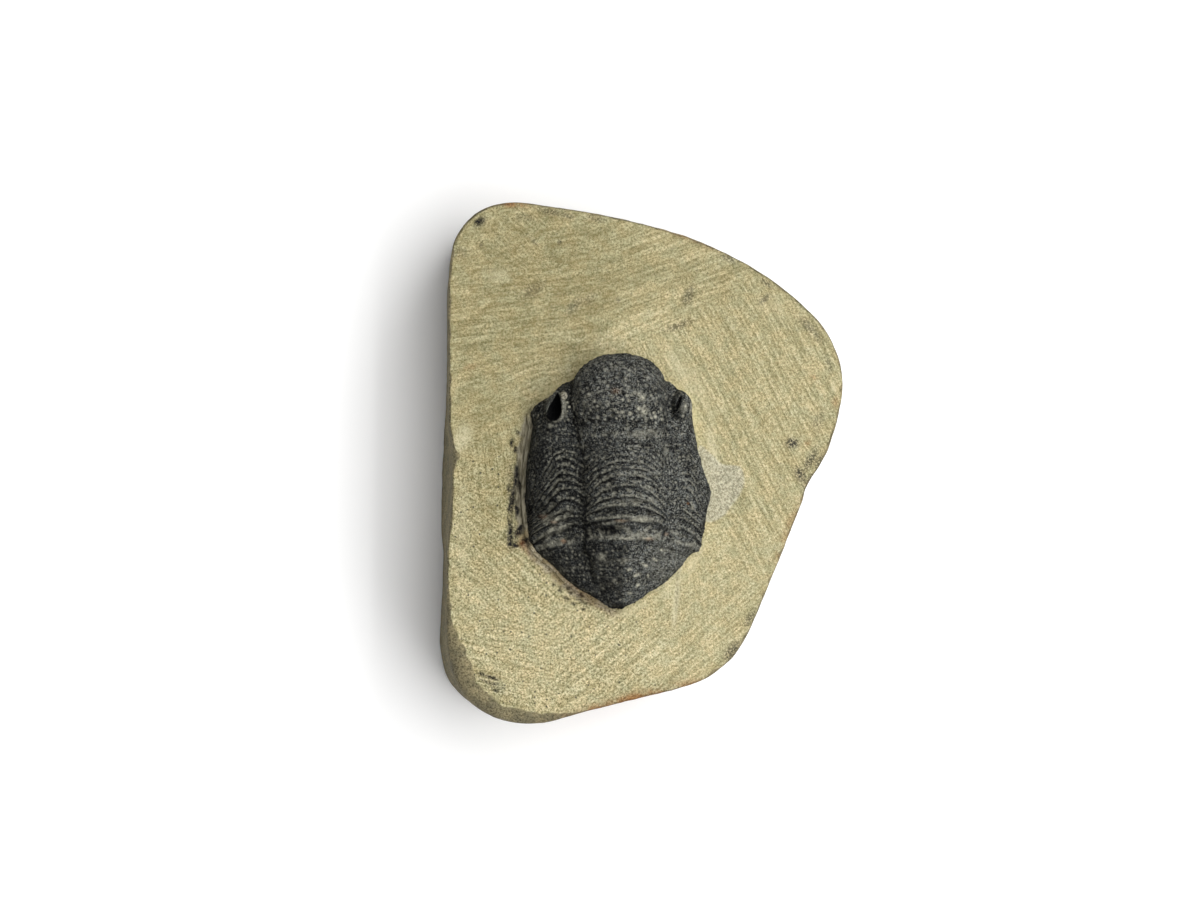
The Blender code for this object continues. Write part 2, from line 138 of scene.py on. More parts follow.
# station, distance of the axial furrow from the crest line, how far it lies behind the crest, its height
FURROW = (
    (0, 5, 3.1, 0.6), (0.1, 5.5, 3.4, 1.6), (0.2, 5.9, 3.4, 2.6), (0.32, 6.1, 2.8, 3.5),
    (0.5, 6.1, 1.7, 4.3), (0.68, 5.9, 0.9, 4.8), (0.82, 5.7, 0.5, 5), (1, 5.4, 0.45, 5.4),
    (2, 5.3, 0.9, 5.8), (3, 5.3, 1.3, 6), (4, 5.3, 1.6, 6.1), (8, 5.3, 1.6, 6), (10, 5.3, 1.1, 5.6),
    (11, 5.2, 0.7, 5.3), (12, 4.9, 0.4, 4.8), (13, 4.4, 0.5, 4.1), (14, 3.5, 0.5, 3.2),
    (15, 2.3, 0.35, 2.2), (16, 0.4, 0, 1.1),
)

# station, distance of the shoulder from the crest line, how far it lies behind the furrow, its height
SHOULDER = (
    (0, 6.1, 0.3, 0.6), (0.1, 6.9, 0.4, 1.3), (0.2, 7.5, 0.5, 2.1), (0.32, 8, 0.5, 3.1), (0.5, 8.4, 0.5, 4),
    (0.68, 8.5, 0.4, 4.4), (0.82, 8.6, 0.2, 4.5), (1, 8.8, 0.1, 4.8), (2, 8.9, 0.1, 5), (4, 9, 0.1, 5.3),
    (6, 8.8, 0.2, 5.3), (8, 8.4, 0.3, 5.1), (10, 7.9, 0.4, 4.7), (11, 7.6, 0.4, 4.4), (12, 7.1, 0.4, 3.9),
    (13, 6.4, 0.5, 3.2), (14, 5, 0.6, 2.5), (15, 3.1, 0.45, 1.8), (16, 0.6, 0, 1),
)

# station, margin across, margin along
LEFT_MARGIN = (
    (0, -7.2, 12.3), (0.3, -9.6, 10.6), (0.48, -11.7, 8.8), (0.58, -11.4, 7.4), (0.8, -11.8, 4.7),
    (1, -12.3, 0.9), (2, -12.4, -1.1), (3, -12.4, -2.3), (5, -12.3, -4), (7, -12.1, -5.4), (9, -12, -6.5),
    (10, -11.9, -7.1), (11, -11.6, -8), (12, -10.9, -9.2), (13, -8.7, -11.1), (14, -6.3, -13.5),
    (15, -3.1, -15.4), (16, -0.9, -16.6),
)
RIGHT_MARGIN = (
    (0, 6.7, 12.3), (0.3, 8.7, 10.9), (0.48, 9.8, 9.3), (0.58, 9.9, 7.8), (0.8, 10.3, 4.9), (1, 11.1, 1),
    (2, 11.9, -1), (3, 12.3, -2.2), (4, 12.1, -3.2), (5, 11.9, -4), (7, 11.7, -5.4), (9, 11.5, -6.5),
    (10, 11.4, -7.1), (11, 11.2, -8), (12, 10.9, -9.2), (12.15, 9.9, -9.5), (13, 8.3, -11.4),
    (14, 5.9, -13.6), (15, 2.9, -15.1), (15.5, 1.7, -15.95), (16, 0.4, -16.75),
)
MARGIN_HEIGHT = 0.6
OUTER_BULGE = 0.2
SKIRT_DEPTH = 0.9
SIZE_CUT = 0.12

# Rows and columns of the trilobite's surface, and how near together points at its tip are merged
HEAD_ROWS = 152
ROWS_IN_RING = 13
TAIL_ROWS = 78
COLUMNS = 248
TIP_MERGE = 0.02

# Relief of the rings on the axis, then of their ends at the left and right: station, height
AXIS_RELIEF = (
    (1, 0.1), (3, 0.16), (5, 0.3), (8, 0.4), (10, 0.5), (11.9, 0.55), (12.1, 0.22), (14, 0.12), (15.5, 0),
)
LEFT_RELIEF = (
    (1, 0.36), (3, 0.55), (6, 0.62), (9, 0.62), (11, 0.66), (11.9, 0.52), (12.1, 0.22), (14, 0.14), (15, 0),
)
RIGHT_RELIEF = (
    (1, 0.22), (3, 0.24), (6, 0.28), (9, 0.38), (11, 0.42), (11.9, 0.36), (12.1, 0.1), (14, 0.04), (15, 0),
)

# station, number of the ring that it is on
RING_NUMBERS = (
    (1, 1), (1.4, 1.78), (2.05, 2.78), (2.7, 3.78), (3.5, 4.78), (4.4, 5.78), (5.35, 6.78), (6.65, 7.78),
    (7.95, 8.78), (9.15, 9.78), (10.7, 10.78), (12, 11.78), (12.3, 12), (13.6, 13), (16, 15),
)

# How far the rings bow forwards where they cross the furrows, and their ends swing forwards: station, rings
LEFT_BOW = ((0.9, 0), (1.8, 0.9), (4, 1.3), (6.6, 1.4), (8, 1), (9.3, 0.4), (10.6, 0.1), (11.5, 0))
RIGHT_BOW = ((0.9, 0), (1.8, 1.2), (4, 1.6), (6.6, 1.8), (8, 1.4), (9.5, 0.8), (11, 0.2), (12, 0))
RIB_SWING = ((1, 2.6), (3, 3.2), (5, 3.2), (7, 2.6), (9, 1.5), (10.5, 0.9), (11.5, 0.3), (12.2, 0))

# Long furrows beside the axis: station, left depth, half width and painted shade, right depth and painted
# shade
LONG_FURROWS = (
    (0.1, 0, 0.03, 0, 0, 0), (0.35, 0.25, 0.03, 0.5, 0.25, 0.3), (0.65, 0.5, 0.024, 1, 0.3, 0.5),
    (0.85, 0.55, 0.026, 1, 0.3, 0.4), (1.3, 0.5, 0.035, 0.9, 0.25, 0.2), (2.5, 0.42, 0.06, 0.7, 0.15, 0.1),
    (7.5, 0.42, 0.06, 0.7, 0.15, 0.1), (9.5, 0.5, 0.042, 0.9, 0.2, 0.2), (11.8, 0.5, 0.038, 1, 0.15, 0.1),
    (12.8, 0.3, 0.07, 0.5, 0, 0), (14.4, 0.22, 0.12, 0.15, 0, 0), (15.8, 0, 0.12, 0, 0, 0),
)

# Eyes, the knob and hollow of the left one and the groove of the right: centre across and along, level of
# the middle, half width and length, how much narrower towards the head, and turn
LEFT_EYE = (-8.75, 9.7, 6.9, 1.4, 2.25, 0.12, 0.0)
LEFT_KNOB = (-7.7, 11.1, 6.6, 0.55, 0.62, 0.0, 0.0)
LEFT_HOLLOW = (-8.85, 9.7, 4.2, 0.8, 2.0, 0.7, -12.0)
RIGHT_EYE = (7.95, 10.0, 7.1, 1.4, 2.05, 0.12, 0.0)
RIGHT_GROOVE = (7.1, 9.95, 5.9, 0.24, 1.45, 0.0, -20.0)

# Pits and knobs of the trilobite: across, along, radius, height
PITS_AND_KNOBS = (
    (-1.69, 8.53, 0.42, -0.5), (-2.15, 6.08, 0.4, -0.5), (-6, 7.74, 0.36, -0.35), (-2.6, 5.8, 0.3, -0.3),
    (2.9, -3.95, 0.42, -0.35), (3.3, -4.35, 0.36, -0.3), (5.4, -8.9, 0.24, -0.25), (1.3, -8, 0.2, -0.2),
    (3.6, -9.75, 0.22, -0.25), (-3.15, -7.55, 0.42, 0.16), (-5.4, -6.85, 0.5, 0.22),
    (-2.8, -9.85, 0.55, 0.16), (0.1, -10.2, 0.45, 0.12), (-10.9, 8.2, 0.5, 0.22), (11.6, -1.2, 0.8, 0.25),
    (-0.2, -16.2, 0.8, 0.5),
)

# Granules on the glabella and elsewhere: chance of one at a point, spacing, radii and heights
GLABELLA_GRANULES = (0.5, 0.5, (0.24, 0.42), (0.08, 0.18))
OTHER_GRANULES = (0.3, 0.44, (0.14, 0.28), (0.04, 0.12))

# Soft spots of colour on the trilobite: across, along, half length, half width, turn in degrees, strength
PALE_SPOTS = (
    # The first pale spot is a painted highlight on the occipital ring.
    (2.5, 6.2, 2.1, 0.5, 9, 0.35), (-9.7, -4.95, 0.9, 0.45, 40, 0.7), (9.19, -3.45, 0.34, 0.26, 0, 1),
    (2.05, 10.7, 0.5, 0.4, 0, 0.7), (2.4, 9.1, 0.6, 0.5, 0, 0.8), (-9.4, -6.6, 1.3, 0.3, 40, 0.6),
    (-8.6, -7.9, 1.4, 0.28, 22, 0.6), (-7.45, -4.6, 1.2, 0.35, 45, 0.35), (-2.8, -9.85, 0.6, 0.5, 0, 0.45),
    (0.3, -10.3, 0.5, 0.4, 0, 0.45), (-7.5, 9.6, 0.28, 1.3, 0, 0.4), (9, 9.4, 0.2, 0.5, 0, 0.5),
    (-9.4, 7.2, 0.4, 0.3, 0, 0.5), (6, -10.5, 3.4, 2.4, 60, 0.12), (-5.3, 4.5, 0.5, 0.25, 0, 0.4),
    (5.6, 3.9, 0.4, 0.9, 0, 0.3), (7.5, -6.9, 1.4, 0.22, -20, 0.4), (8, -8.1, 1.2, 0.2, -25, 0.35),
    (2.1, -5.05, 1.3, 0.24, -3, 1.4), (-1, -5.3, 2.2, 0.2, 8, 0.6), (0.4, -7.45, 3.2, 0.16, 0, 0.7),
    (2.5, -7.4, 1, 0.2, -4, 1), (7.9, 9.6, 0.45, 0.8, -20, 0.45), (8.9, 9.9, 0.2, 0.9, -10, 0.6),
    (-8.7, -5.1, 0.7, 0.4, 30, 0.7), (-7.9, -6.35, 0.9, 0.25, 30, 0.6), (-9.5, -7.4, 0.8, 0.14, 50, 0.5),
    (-3.6, -11.4, 3.3, 0.12, -3, 0.25), (-2.9, -12.4, 2.4, 0.1, -5, 0.2), (2.4, -2.5, 3, 0.25, 0, 0.3),
    (0.5, -2.9, 2.8, 0.25, 8, 0.3), (1.9, -12.2, 0.4, 0.2, 30, 1.1), (3.1, -11, 0.35, 0.2, -20, 1),
    (2.2, -13.6, 0.35, 0.18, 40, 1.1), (1.2, -14.6, 0.3, 0.2, 0, 1), (4.3, -10.2, 0.5, 0.2, -30, 0.9),
    (0.9, -11.5, 0.35, 0.22, 10, 1), (3.6, -12.4, 0.35, 0.16, -60, 0.9), (-0.9, -12.9, 0.35, 0.16, 15, 0.7),
    (-2.3, -14, 0.3, 0.15, -30, 0.6), (5.4, -9, 0.7, 0.18, -15, 0.8),
)
DARK_SPOTS = (
    # The first dark spot is painted shade in the trough between the back rings.
    (-1.6, -6.2, 2.5, 0.85, 0, 1), (-6.6, -6, 1.6, 0.35, 28, 0.7), (-7.2, -7.6, 2, 0.35, 20, 0.7),
    (5, -6.2, 1.6, 0.4, -8, 0.35), (-0.2, -4, 2.6, 0.5, 5, 0.5), (-1.8, -13.4, 1.6, 1, -30, 0.6),
    (-3.4, -10.8, 1.6, 0.9, -10, 0.5), (-4.6, -8.9, 0.8, 1, 0, 0.6), (0.1, -16.5, 0.9, 0.6, 0, 0.9),
    (-4.4, 8.6, 1.3, 2.4, -20, 0.5), (-0.6, 8, 1.2, 0.5, 0, 0.5), (-1.4, 5.5, 1.6, 0.6, -10, 0.45),
    (5.4, 8.8, 0.5, 1.6, 10, 0.5), (-9.9, 6.6, 1.2, 0.9, 0, 0.5), (-10.6, 3.2, 0.8, 2.6, -8, 0.5),
    (8.8, 2.4, 0.8, 2.2, 8, 0.35), (7.4, 3.6, 1.6, 0.3, -20, 0.4),
)
WARM_SPOTS = (
    (-7.55, -7.8, 0.3, 0.22, 0, 1), (-8.9, -5.3, 0.4, 0.2, 0, 0.4), (-0.4, -5.15, 0.8, 0.16, 0, 0.3),
    (-1.4, 11.6, 0.6, 0.4, 0, 0.2), (5.8, -6.9, 0.3, 0.2, 0, 0.5), (3.4, -7.5, 0.6, 0.2, 0, 0.35),
    (8.6, -2.9, 0.16, 0.16, 0, 0.7), (-10.2, -4.6, 0.5, 0.3, 0, 0.3),
)


def smooth_through(table, stations):
    """Read each column of a table at the stations, on smooth curves that never overshoot its rows."""
    table = np.array(table, dtype=float)
    knots = table[:, 0]
    values = table[:, 1:]
    step = np.diff(knots)[:, None]
    rise = np.diff(values, axis=0) / step
    slope = np.zeros_like(values)
    slope[0] = rise[0]
    slope[-1] = rise[-1]
    before, after = rise[:-1], rise[1:]
    agree = before * after > 0
    total = np.where(agree, before + after, 1.0)
    slope[1:-1] = np.where(agree, 2 * before * after / total, 0.0)
    stations = np.clip(stations, knots[0], knots[-1])
    cell = np.clip(np.searchsorted(knots, stations, side="right") - 1, 0, len(knots) - 2)
    length = step[cell]
    t = ((stations - knots[cell]) / length[..., 0])[..., None]
    start, end = values[cell], values[cell + 1]
    lean_out, lean_in = slope[cell] * length, slope[cell + 1] * length
    curve = (
        start * (2 * t**3 - 3 * t**2 + 1) + lean_out * (t**3 - 2 * t**2 + t)
        + end * (3 * t**2 - 2 * t**3) + lean_in * (t**3 - t**2)
    )
    return np.moveaxis(curve, -1, 0)


def closed_curve(points, count):
    """Return count points of a smooth closed curve through the points given."""
    points = np.array(points, dtype=float)
    place = np.arange(count) * len(points) / count
    cell = place.astype(int)
    t = (place - cell)[:, None]
    p0, p1, p2, p3 = (np.roll(points, 1 - k, axis=0)[cell] for k in range(4))
    return 0.5 * (2 * p1 + (p2 - p0) * t + (2 * p0 - 5 * p1 + 4 * p2 - p3) * t**2
                  + (3 * p1 - p0 - 3 * p2 + p3) * t**3)


def ease(low, high, value):
    """Rise smoothly from 0 at low to 1 at high."""
    t = np.clip((value - low) / (high - low), 0.0, 1.0)
    return t * t * (3 - 2 * t)


def ridge(value, middle, width):
    """A bell-shaped ridge of height 1."""
    return np.exp(-(((value - middle) / width) ** 2))


def spots(across, along, table):
    """Soft elliptical spots, the strongest one winning where they meet."""
    total = np.zeros_like(across)
    for middle_x, middle_y, half_length, half_width, turn, strength in table:
        angle = math.radians(turn)
        off_x, off_y = across - middle_x, along - middle_y
        lengthways = (off_x * math.cos(angle) + off_y * math.sin(angle)) / half_length
        sideways = (off_y * math.cos(angle) - off_x * math.sin(angle)) / half_width
        spot = strength * np.exp(-(lengthways**2 + sideways**2) ** 1.5)
        total = np.where(np.abs(spot) > np.abs(total), spot, total)
    return total


def noise_over(points, scale, layer, stretch=(1.0, 1.0, 1.0), turn=0.0):
    """Smooth noise of about -1 to 1 at points in millimetres; scale is in features to the millimetre."""
    flat = points.reshape(-1, 3)
    cosine, sine = math.cos(turn), math.sin(turn)
    along = flat[:, 0] * cosine + flat[:, 1] * sine
    across = flat[:, 1] * cosine - flat[:, 0] * sine
    places = np.stack((along * stretch[0], across * stretch[1], flat[:, 2] * stretch[2]), axis=-1) * scale
    places += np.array((17.3, 5.1, 9.7)) * (layer + 1)
    return np.array([noise.noise(Vector(place)) for place in places]).reshape(points.shape[:-1])


def body_surface(station, across):
    """Return the smooth body's place across, along and up; across runs from -1 to 1 over its width."""
    crest_x, crest_y, crest_z = smooth_through(CREST, station)
    half_axis, back, furrow_z = smooth_through(FURROW, station)
    reach, lag, shoulder_z = smooth_through(SHOULDER, station)
    left_x, left_y = smooth_through(LEFT_MARGIN, station)
    right_x, right_y = smooth_through(RIGHT_MARGIN, station)
    side = np.where(across < 0, -1.0, 1.0)
    margin_x = np.where(across < 0, left_x, right_x)
    margin_y = np.where(across < 0, left_y, right_y)
    furrow_x, furrow_y = crest_x + side * half_axis, crest_y - back
    shoulder_x, shoulder_y = crest_x + side * reach, furrow_y - lag

    turn = np.clip(np.abs(across) / AXIS_SHARE, 0.0, 1.0) * math.pi / 2
    flank = np.clip((np.abs(across) - AXIS_SHARE) / (1 - AXIS_SHARE), 0.0, 1.0)
    inner = np.clip(flank / SHOULDER_SHARE, 0.0, 1.0)
    bend = np.clip((flank - SHOULDER_SHARE) / (1 - SHOULDER_SHARE), 0.0, 1.0) * math.pi / 2
    outer = np.sin(bend)
    drop = (1 - OUTER_BULGE) * (1 - np.cos(bend)) + OUTER_BULGE * np.sin(bend)

    x = crest_x + side * half_axis * np.sin(turn)
    x += (shoulder_x - furrow_x) * inner + (margin_x - shoulder_x) * outer
    sweep = 0.45 * outer + 0.55 * (1 - np.cos(bend))
    y = furrow_y + back * np.cos(turn) + (shoulder_y - furrow_y) * inner**2 + (margin_y - shoulder_y) * sweep
    z = furrow_z + (crest_z - furrow_z) * np.cos(turn)
    z += (shoulder_z - furrow_z) * inner + (MARGIN_HEIGHT - shoulder_z) * drop
    return np.stack((x, y, z), axis=-1)


def raise_along_normals(points, height):
    """Move a grid of points along its own normals."""
    normal = np.cross(np.gradient(points, axis=1), np.gradient(points, axis=0))
    normal /= np.maximum(np.linalg.norm(normal, axis=-1, keepdims=True), 1e-9)
    return points + normal * height[..., None]


def fossil_stations():
    """Rows along the body."""
    head = np.linspace(0.0, HEAD_END, HEAD_ROWS, endpoint=False)
    rings = np.linspace(HEAD_END, THORAX_END, round(THORAX_END - HEAD_END) * ROWS_IN_RING, endpoint=False)
    tail = np.linspace(THORAX_END, TAIL_END, TAIL_ROWS)
    return np.concatenate((head, rings, tail))


def flank_share(across):
    """How far out over the side a point is: 0 at the axial furrow and 1 at the margin."""
    return np.clip((np.abs(across) - AXIS_SHARE) / (1 - AXIS_SHARE), 0.0, 1.0)


def ring_relief(station, across, wear):
    """Return the height of the rings and ribs above the smooth body, their edges, and the painted shade in
    the gaps between them.
    """
    width = np.abs(across)
    flank = flank_share(across)
    on_axis = 1 - ease(AXIS_SHARE - 0.03, AXIS_SHARE + 0.01, width)
    on_side = (1 - on_axis) * (1 - ease(0.94, 1.0, width))
    swing, = smooth_through(RIB_SWING, station)
    left_bow, = smooth_through(LEFT_BOW, station)
    right_bow, = smooth_through(RIGHT_BOW, station)
    station = station - np.where(across < 0, left_bow, right_bow) * ridge(width, 0.31, 0.15)
    station = station - swing * ease(0.38, 0.95, flank)
    behind_head = ease(0.95, 1.05, station)
    ring, = smooth_through(RING_NUMBERS, station)
    phase = ring % 1.0
    step = ease(0.0, 0.5, phase) * (1 - ease(0.82, 1.0, phase))
    axis_height, = smooth_through(AXIS_RELIEF, station)
    left_height, = smooth_through(LEFT_RELIEF, station)
    right_height, = smooth_through(RIGHT_RELIEF, station)
    side_height = np.where(across < 0, left_height, right_height)
    side_height = side_height * (0.3 + 0.7 * ease(0.15, 0.6, flank))
    in_tail = ease(11.9, 12.1, station)
    border = 1 - in_tail * ease(0.5, 0.7, flank)
    height = behind_head * step * (on_axis * axis_height + on_side * side_height * border) * wear
    notch = ridge(phase, 0.36 + 0.1 * flank, 0.11) * (1 - ease(0.6, 0.9, flank))
    height -= behind_head * (1 - in_tail) * on_side * notch * 0.1
    knob = ridge(width, 0.318, 0.034) * ridge(phase, 0.5, 0.26) * np.where(across < 0, 0.22, 0.1)
    height += behind_head * (1 - in_tail) * knob * wear
    shown = on_axis + on_side * (0.25 + 0.75 * ease(0.3, 0.65, flank))
    crest = behind_head * ridge(phase, 0.78, 0.12) * shown * (1 - in_tail * 0.7)
    # Painted shade in the gaps behind the rings, stronger on the left side, away from the light.
    gap = behind_head * np.maximum(ridge(phase, 1.0, 0.1), ridge(phase, 0.0, 0.22)) * shown
    gap *= np.where(across < 0, 0.62 + 0.4 * flank, 0.36)
    # The seam behind the head is a shallow groove, and its darkness is painted shade.
    seam = ridge(ring, 1.0, 0.16) * ease(0.96, 0.99, station) * (1 - ease(0.5, 0.8, flank))
    seam *= np.where(across < 0, 0.35, 1.0)
    height -= 0.16 * seam
    gap = np.maximum(gap * (1 - in_tail * 0.6) * (0.3 + 0.6 * wear), 0.85 * seam)
    return height, crest, gap


def head_relief(station, across, ragged):
    """Return the height of the furrows and borders of the head, and the painted shade in its furrows."""
    width = np.abs(across)
    flank = flank_share(across)
    on_axis = 1 - ease(AXIS_SHARE - 0.02, AXIS_SHARE + 0.02, width)
    on_side = (1 - on_axis) * (1 - ease(0.93, 1.0, width))
    occipital = ridge(station, 0.845, 0.03) * on_axis
    pre_occipital = ridge(station, 0.785, 0.02) * on_axis * ridge(across, 0.0, 0.12)
    border = ridge(station, 0.925 + 0.03 * flank, 0.02) * on_side * np.where(across < 0, 0.2, 0.7)
    height = -0.5 * occipital * ragged - 0.12 * pre_occipital - 0.22 * border
    height += 0.3 * ridge(station, 0.925, 0.045) * on_axis + 0.12 * ridge(station, 0.975, 0.03) * on_side
    right_half = 0.35 + 0.65 * ease(-0.15, 0.05, across)
    # Painted shade in the occipital, pre-occipital and border furrows.
    deep = occipital * 0.6 * ease(0.6, 1.1, ragged) * right_half + border * 0.6 + pre_occipital * 0.4
    return height, np.clip(deep, 0.0, 1.0)


def furrow_relief(station, across):
    """Return the height of the long furrows at the sides of the axis, and the painted shade in them."""
    width = np.abs(across)
    left_depth, left_width, left_dark, right_depth, right_dark = smooth_through(LONG_FURROWS, station)
    left = across < 0
    half_width = np.where(left, left_width, 0.045)
    furrow = ridge(width, AXIS_SHARE, half_width) * np.where(left, left_depth, right_depth)
    wide = ridge(width, AXIS_SHARE + 0.005, half_width * 1.35)
    return -furrow, wide * np.where(left, left_dark, right_dark)


def soften(values, reach):
    """Average a grid's values over the points up to reach away, both ways."""
    window = np.full(2 * reach + 1, 1 / (2 * reach + 1))
    for axis in (0, 1):
        values = np.apply_along_axis(
            lambda line: np.convolve(np.pad(line, reach, mode="edge"), window, "valid"), axis, values)
    return values


def scatter(points, chance, spacing, rng):
    """Pick points in random order, none nearer to another than the spacing, each kept with its chance."""
    flat = points.reshape(-1, 3)
    keep = rng.random(len(flat)) < chance.reshape(-1)
    taken = {}
    chosen = []
    for index in rng.permutation(np.flatnonzero(keep)):
        cell = tuple((flat[index] // spacing).astype(int))
        cells = [(cell[0] + i, cell[1] + j, cell[2] + k) for i, j, k in NEIGHBOURS]
        others = (other for key in cells for other in taken.get(key, ()))
        if all(np.linalg.norm(flat[index] - flat[other]) >= spacing for other in others):
            taken.setdefault(cell, []).append(index)
            chosen.append(index)
    return flat[chosen]


def granules(points, station, across):
    """Return the height and paleness of the small round granules over the head and, finer, the rest."""
    rng = np.random.default_rng(SEED)
    on_glabella = (station < 0.83) * (np.abs(across) < AXIS_SHARE - 0.02)
    layers = ((on_glabella, GLABELLA_GRANULES), (1.0 - on_glabella, OTHER_GRANULES))
    height = np.zeros(points.shape[:-1]).reshape(-1)
    pale = np.zeros_like(height)
    flat = points.reshape(-1, 3)
    for place, (chance, spacing, radii, heights) in layers:
        centres = scatter(points, place * chance, spacing, rng)
        radius = rng.uniform(*radii, len(centres))
        rise = rng.uniform(*heights, len(centres))
        light = rng.random(len(centres)) ** 2.2
        tree = kdtree.KDTree(len(centres))
        for index, centre in enumerate(centres):
            tree.insert(centre, index)
        tree.balance()
        for number, point in enumerate(flat):
            for _, index, distance in tree.find_n(point, 2):
                if distance < radius[index]:
                    dome = (1 - (distance / radius[index]) ** 2) ** 1.5
                    height[number] = max(height[number], rise[index] * dome)
                    pale[number] = max(pale[number], light[index] * dome)
    return height.reshape(points.shape[:-1]), pale.reshape(points.shape[:-1])


def fossil_relief(station, across, smooth):
    """Return the relief without granules, how ragged the furrows are, where the crests lie, and the painted
    shade in the ring gaps and furrows.
    """
    in_back_rings = ease(9.3, 10.2, station) * (1 - ease(12.3, 12.8, station))
    wear = 0.8 + 1.0 * noise_over(smooth, 0.35, 7) + 0.7 * noise_over(smooth, 1.1, 12)
    wear = np.clip(wear, 0.15, 1.4) * (1 - 0.5 * in_back_rings) + 0.45 * in_back_rings
    drift = 0.18 * noise_over(smooth, 0.5, 8) + 0.08 * noise_over(smooth, 1.7, 9)
    drift *= 1 - 0.6 * in_back_rings
    rings, crest, gap = ring_relief(station + drift * ease(0.9, 1.6, station), across, wear)
    gap *= np.clip(0.8 + 1.1 * noise_over(smooth, 1.6, 17), 0.1, 1.25)
    strayed = across + 0.02 * noise_over(smooth, 0.7, 10)
    ragged = np.clip(0.6 + 0.9 * noise_over(smooth, 0.9, 11), 0.3, 1.3)
    head, deep = head_relief(station + 0.05 * drift, strayed, ragged)
    furrow, furrow_depth = furrow_relief(station, strayed)
    lumps = 0.12 * noise_over(smooth, 0.55, 1) + 0.10 * noise_over(smooth, 1.3, 2)
    rough = 0.09 * noise_over(smooth, 2.4, 3) + 0.06 * noise_over(smooth, 4.2, 4)
    fade = 1 - ease(0.93, 1.0, np.abs(across))
    relief = rings + head + furrow * ragged + (lumps + rough) * (0.35 + 0.65 * fade)
    return relief, ragged, {"crest": crest, "gap": gap, "deep": deep, "furrow": furrow_depth}


def fossil_paint(points, station, across, ragged, forms, fine_relief, grain_pale, pits):
    """Return the trilobite's paint: how pale, how dark, how much painted shade darkens it and how warm each
    point is; pale and dark also hold painted highlights and painted shade.
    """
    x, y = points[..., 0], points[..., 1]
    worn = 0.5 + 0.5 * noise_over(points, 0.45, 5)
    fine = 0.5 + 0.5 * noise_over(points, 2.2, 6)
    edge_pale = forms["crest"] * ease(0.38, 0.62, 0.4 * worn + 0.6 * fine) * 0.42
    edge_pale *= 0.3 + 0.7 * ease(1.5, 5.0, station)
    edge_pale *= np.where(across < -AXIS_SHARE, 1.6, 0.9)
    # Pale spots; the one on the occipital ring is a painted highlight.
    mark_pale = spots(x, y, PALE_SPOTS) * (0.25 + 2.0 * fine**2)
    # Fine peaks are paler, partly from wear and partly as a painted highlight; fine hollows get painted
    # shade with dark dust, stronger on the left, away from the light.
    peaks = 0.35 * ease(0.03, 0.13, fine_relief)
    hollows = 0.9 * ease(-0.03, -0.14, fine_relief) * np.where(across < -0.1, 1.0, 0.75)
    grain_pale *= 0.45 + 0.7 * ease(12.5, 9.5, y) * ease(7.6, 8.2, y)
    furrow_dark = forms["furrow"] * (0.35 + 0.9 * np.clip(1.3 - ragged, 0.0, 1.0)) * (0.6 + 0.5 * fine)
    # Dark spots and pits; the spot in the trough of the back rings is painted shade.
    dark_marks = np.maximum(spots(x, y, DARK_SPOTS), pits)
    on_glabella = (1 - ease(0.85, 1.1, station)) * (np.abs(across) < AXIS_SHARE)
    in_tail = ease(12.0, 12.6, station)
    # Painted shade: the left side, away from the light, is darkened, in the tail from the middle line
    # leftwards, and the glabella a little, more on its right.
    left_half = (1 - in_tail) * ease(0.06, -0.17, across) + in_tail * ease(1.0, -0.2, x)
    left_half *= 1 - on_glabella
    pale = np.maximum.reduce((grain_pale, edge_pale, mark_pale, peaks))
    # Darkness: painted shade in the ring gaps, furrows and fine hollows, with the dark spots and pits.
    dark = np.maximum.reduce((forms["gap"] * 0.85, forms["deep"], furrow_dark, dark_marks, hollows))
    return {
        "pale": np.clip(pale, 0.0, 1.0),
        "dark": np.clip(dark, 0.0, 1.0),
        "shade": left_half * (1 + 0.25 * in_tail) + on_glabella * (0.1 + 0.3 * ease(0.0, 0.25, across)),
        "warm": np.clip(spots(x, y, WARM_SPOTS) * (0.4 + 1.2 * fine), 0.0, 1.0),
    }


def fossil_grid():
    """Return the trilobite's upper surface as a grid of points around its own centre, and its paint."""
    station, across = np.meshgrid(fossil_stations(), np.linspace(-1.0, 1.0, COLUMNS + 1), indexing="ij")
    smooth = body_surface(station, across)
    smooth[..., 2] -= SIZE_CUT * ease(4.0, 8.0, smooth[..., 2])
    relief, ragged, forms = fossil_relief(station, across, smooth)
    points = raise_along_normals(smooth, relief)
    frayed = 0.13 * (1 + noise_over(smooth, 0.8, 13)) * ease(0.8, 1.0, np.abs(across))
    points[..., 0] -= np.sign(across) * frayed
    grain_height, grain_pale = granules(points, station, across)
    points = raise_along_normals(points, grain_height)
    fine_relief = relief + grain_height
    fine_relief -= soften(fine_relief, 4)
    pits = np.zeros_like(relief)
    for middle_x, middle_y, radius, height in PITS_AND_KNOBS:
        distance = np.hypot(points[..., 0] - middle_x, points[..., 1] - middle_y)
        spot = 1 - ease(0.0, radius, distance)
        points[..., 2] += height * spot
        if height < 0:
            pits = np.maximum(pits, spot)
    paint = fossil_paint(points, station, across, ragged, forms, fine_relief, grain_pale, pits)
    return points, paint


def fossil_outline():
    """The trilobite's edge seen from above, as a closed line of points around its own centre."""
    stations = np.linspace(0.0, TAIL_END, SIDE_POINTS)
    front = np.linspace(-1.0, 1.0, FRONT_POINTS)
    front_edge = body_surface(np.zeros_like(front), front)[:, :2]
    right_edge = body_surface(stations, np.ones_like(stations))[:, :2]
    left_edge = body_surface(stations, -np.ones_like(stations))[:, :2]
    return np.concatenate((front_edge, right_edge[1:], left_edge[:0:-1]))


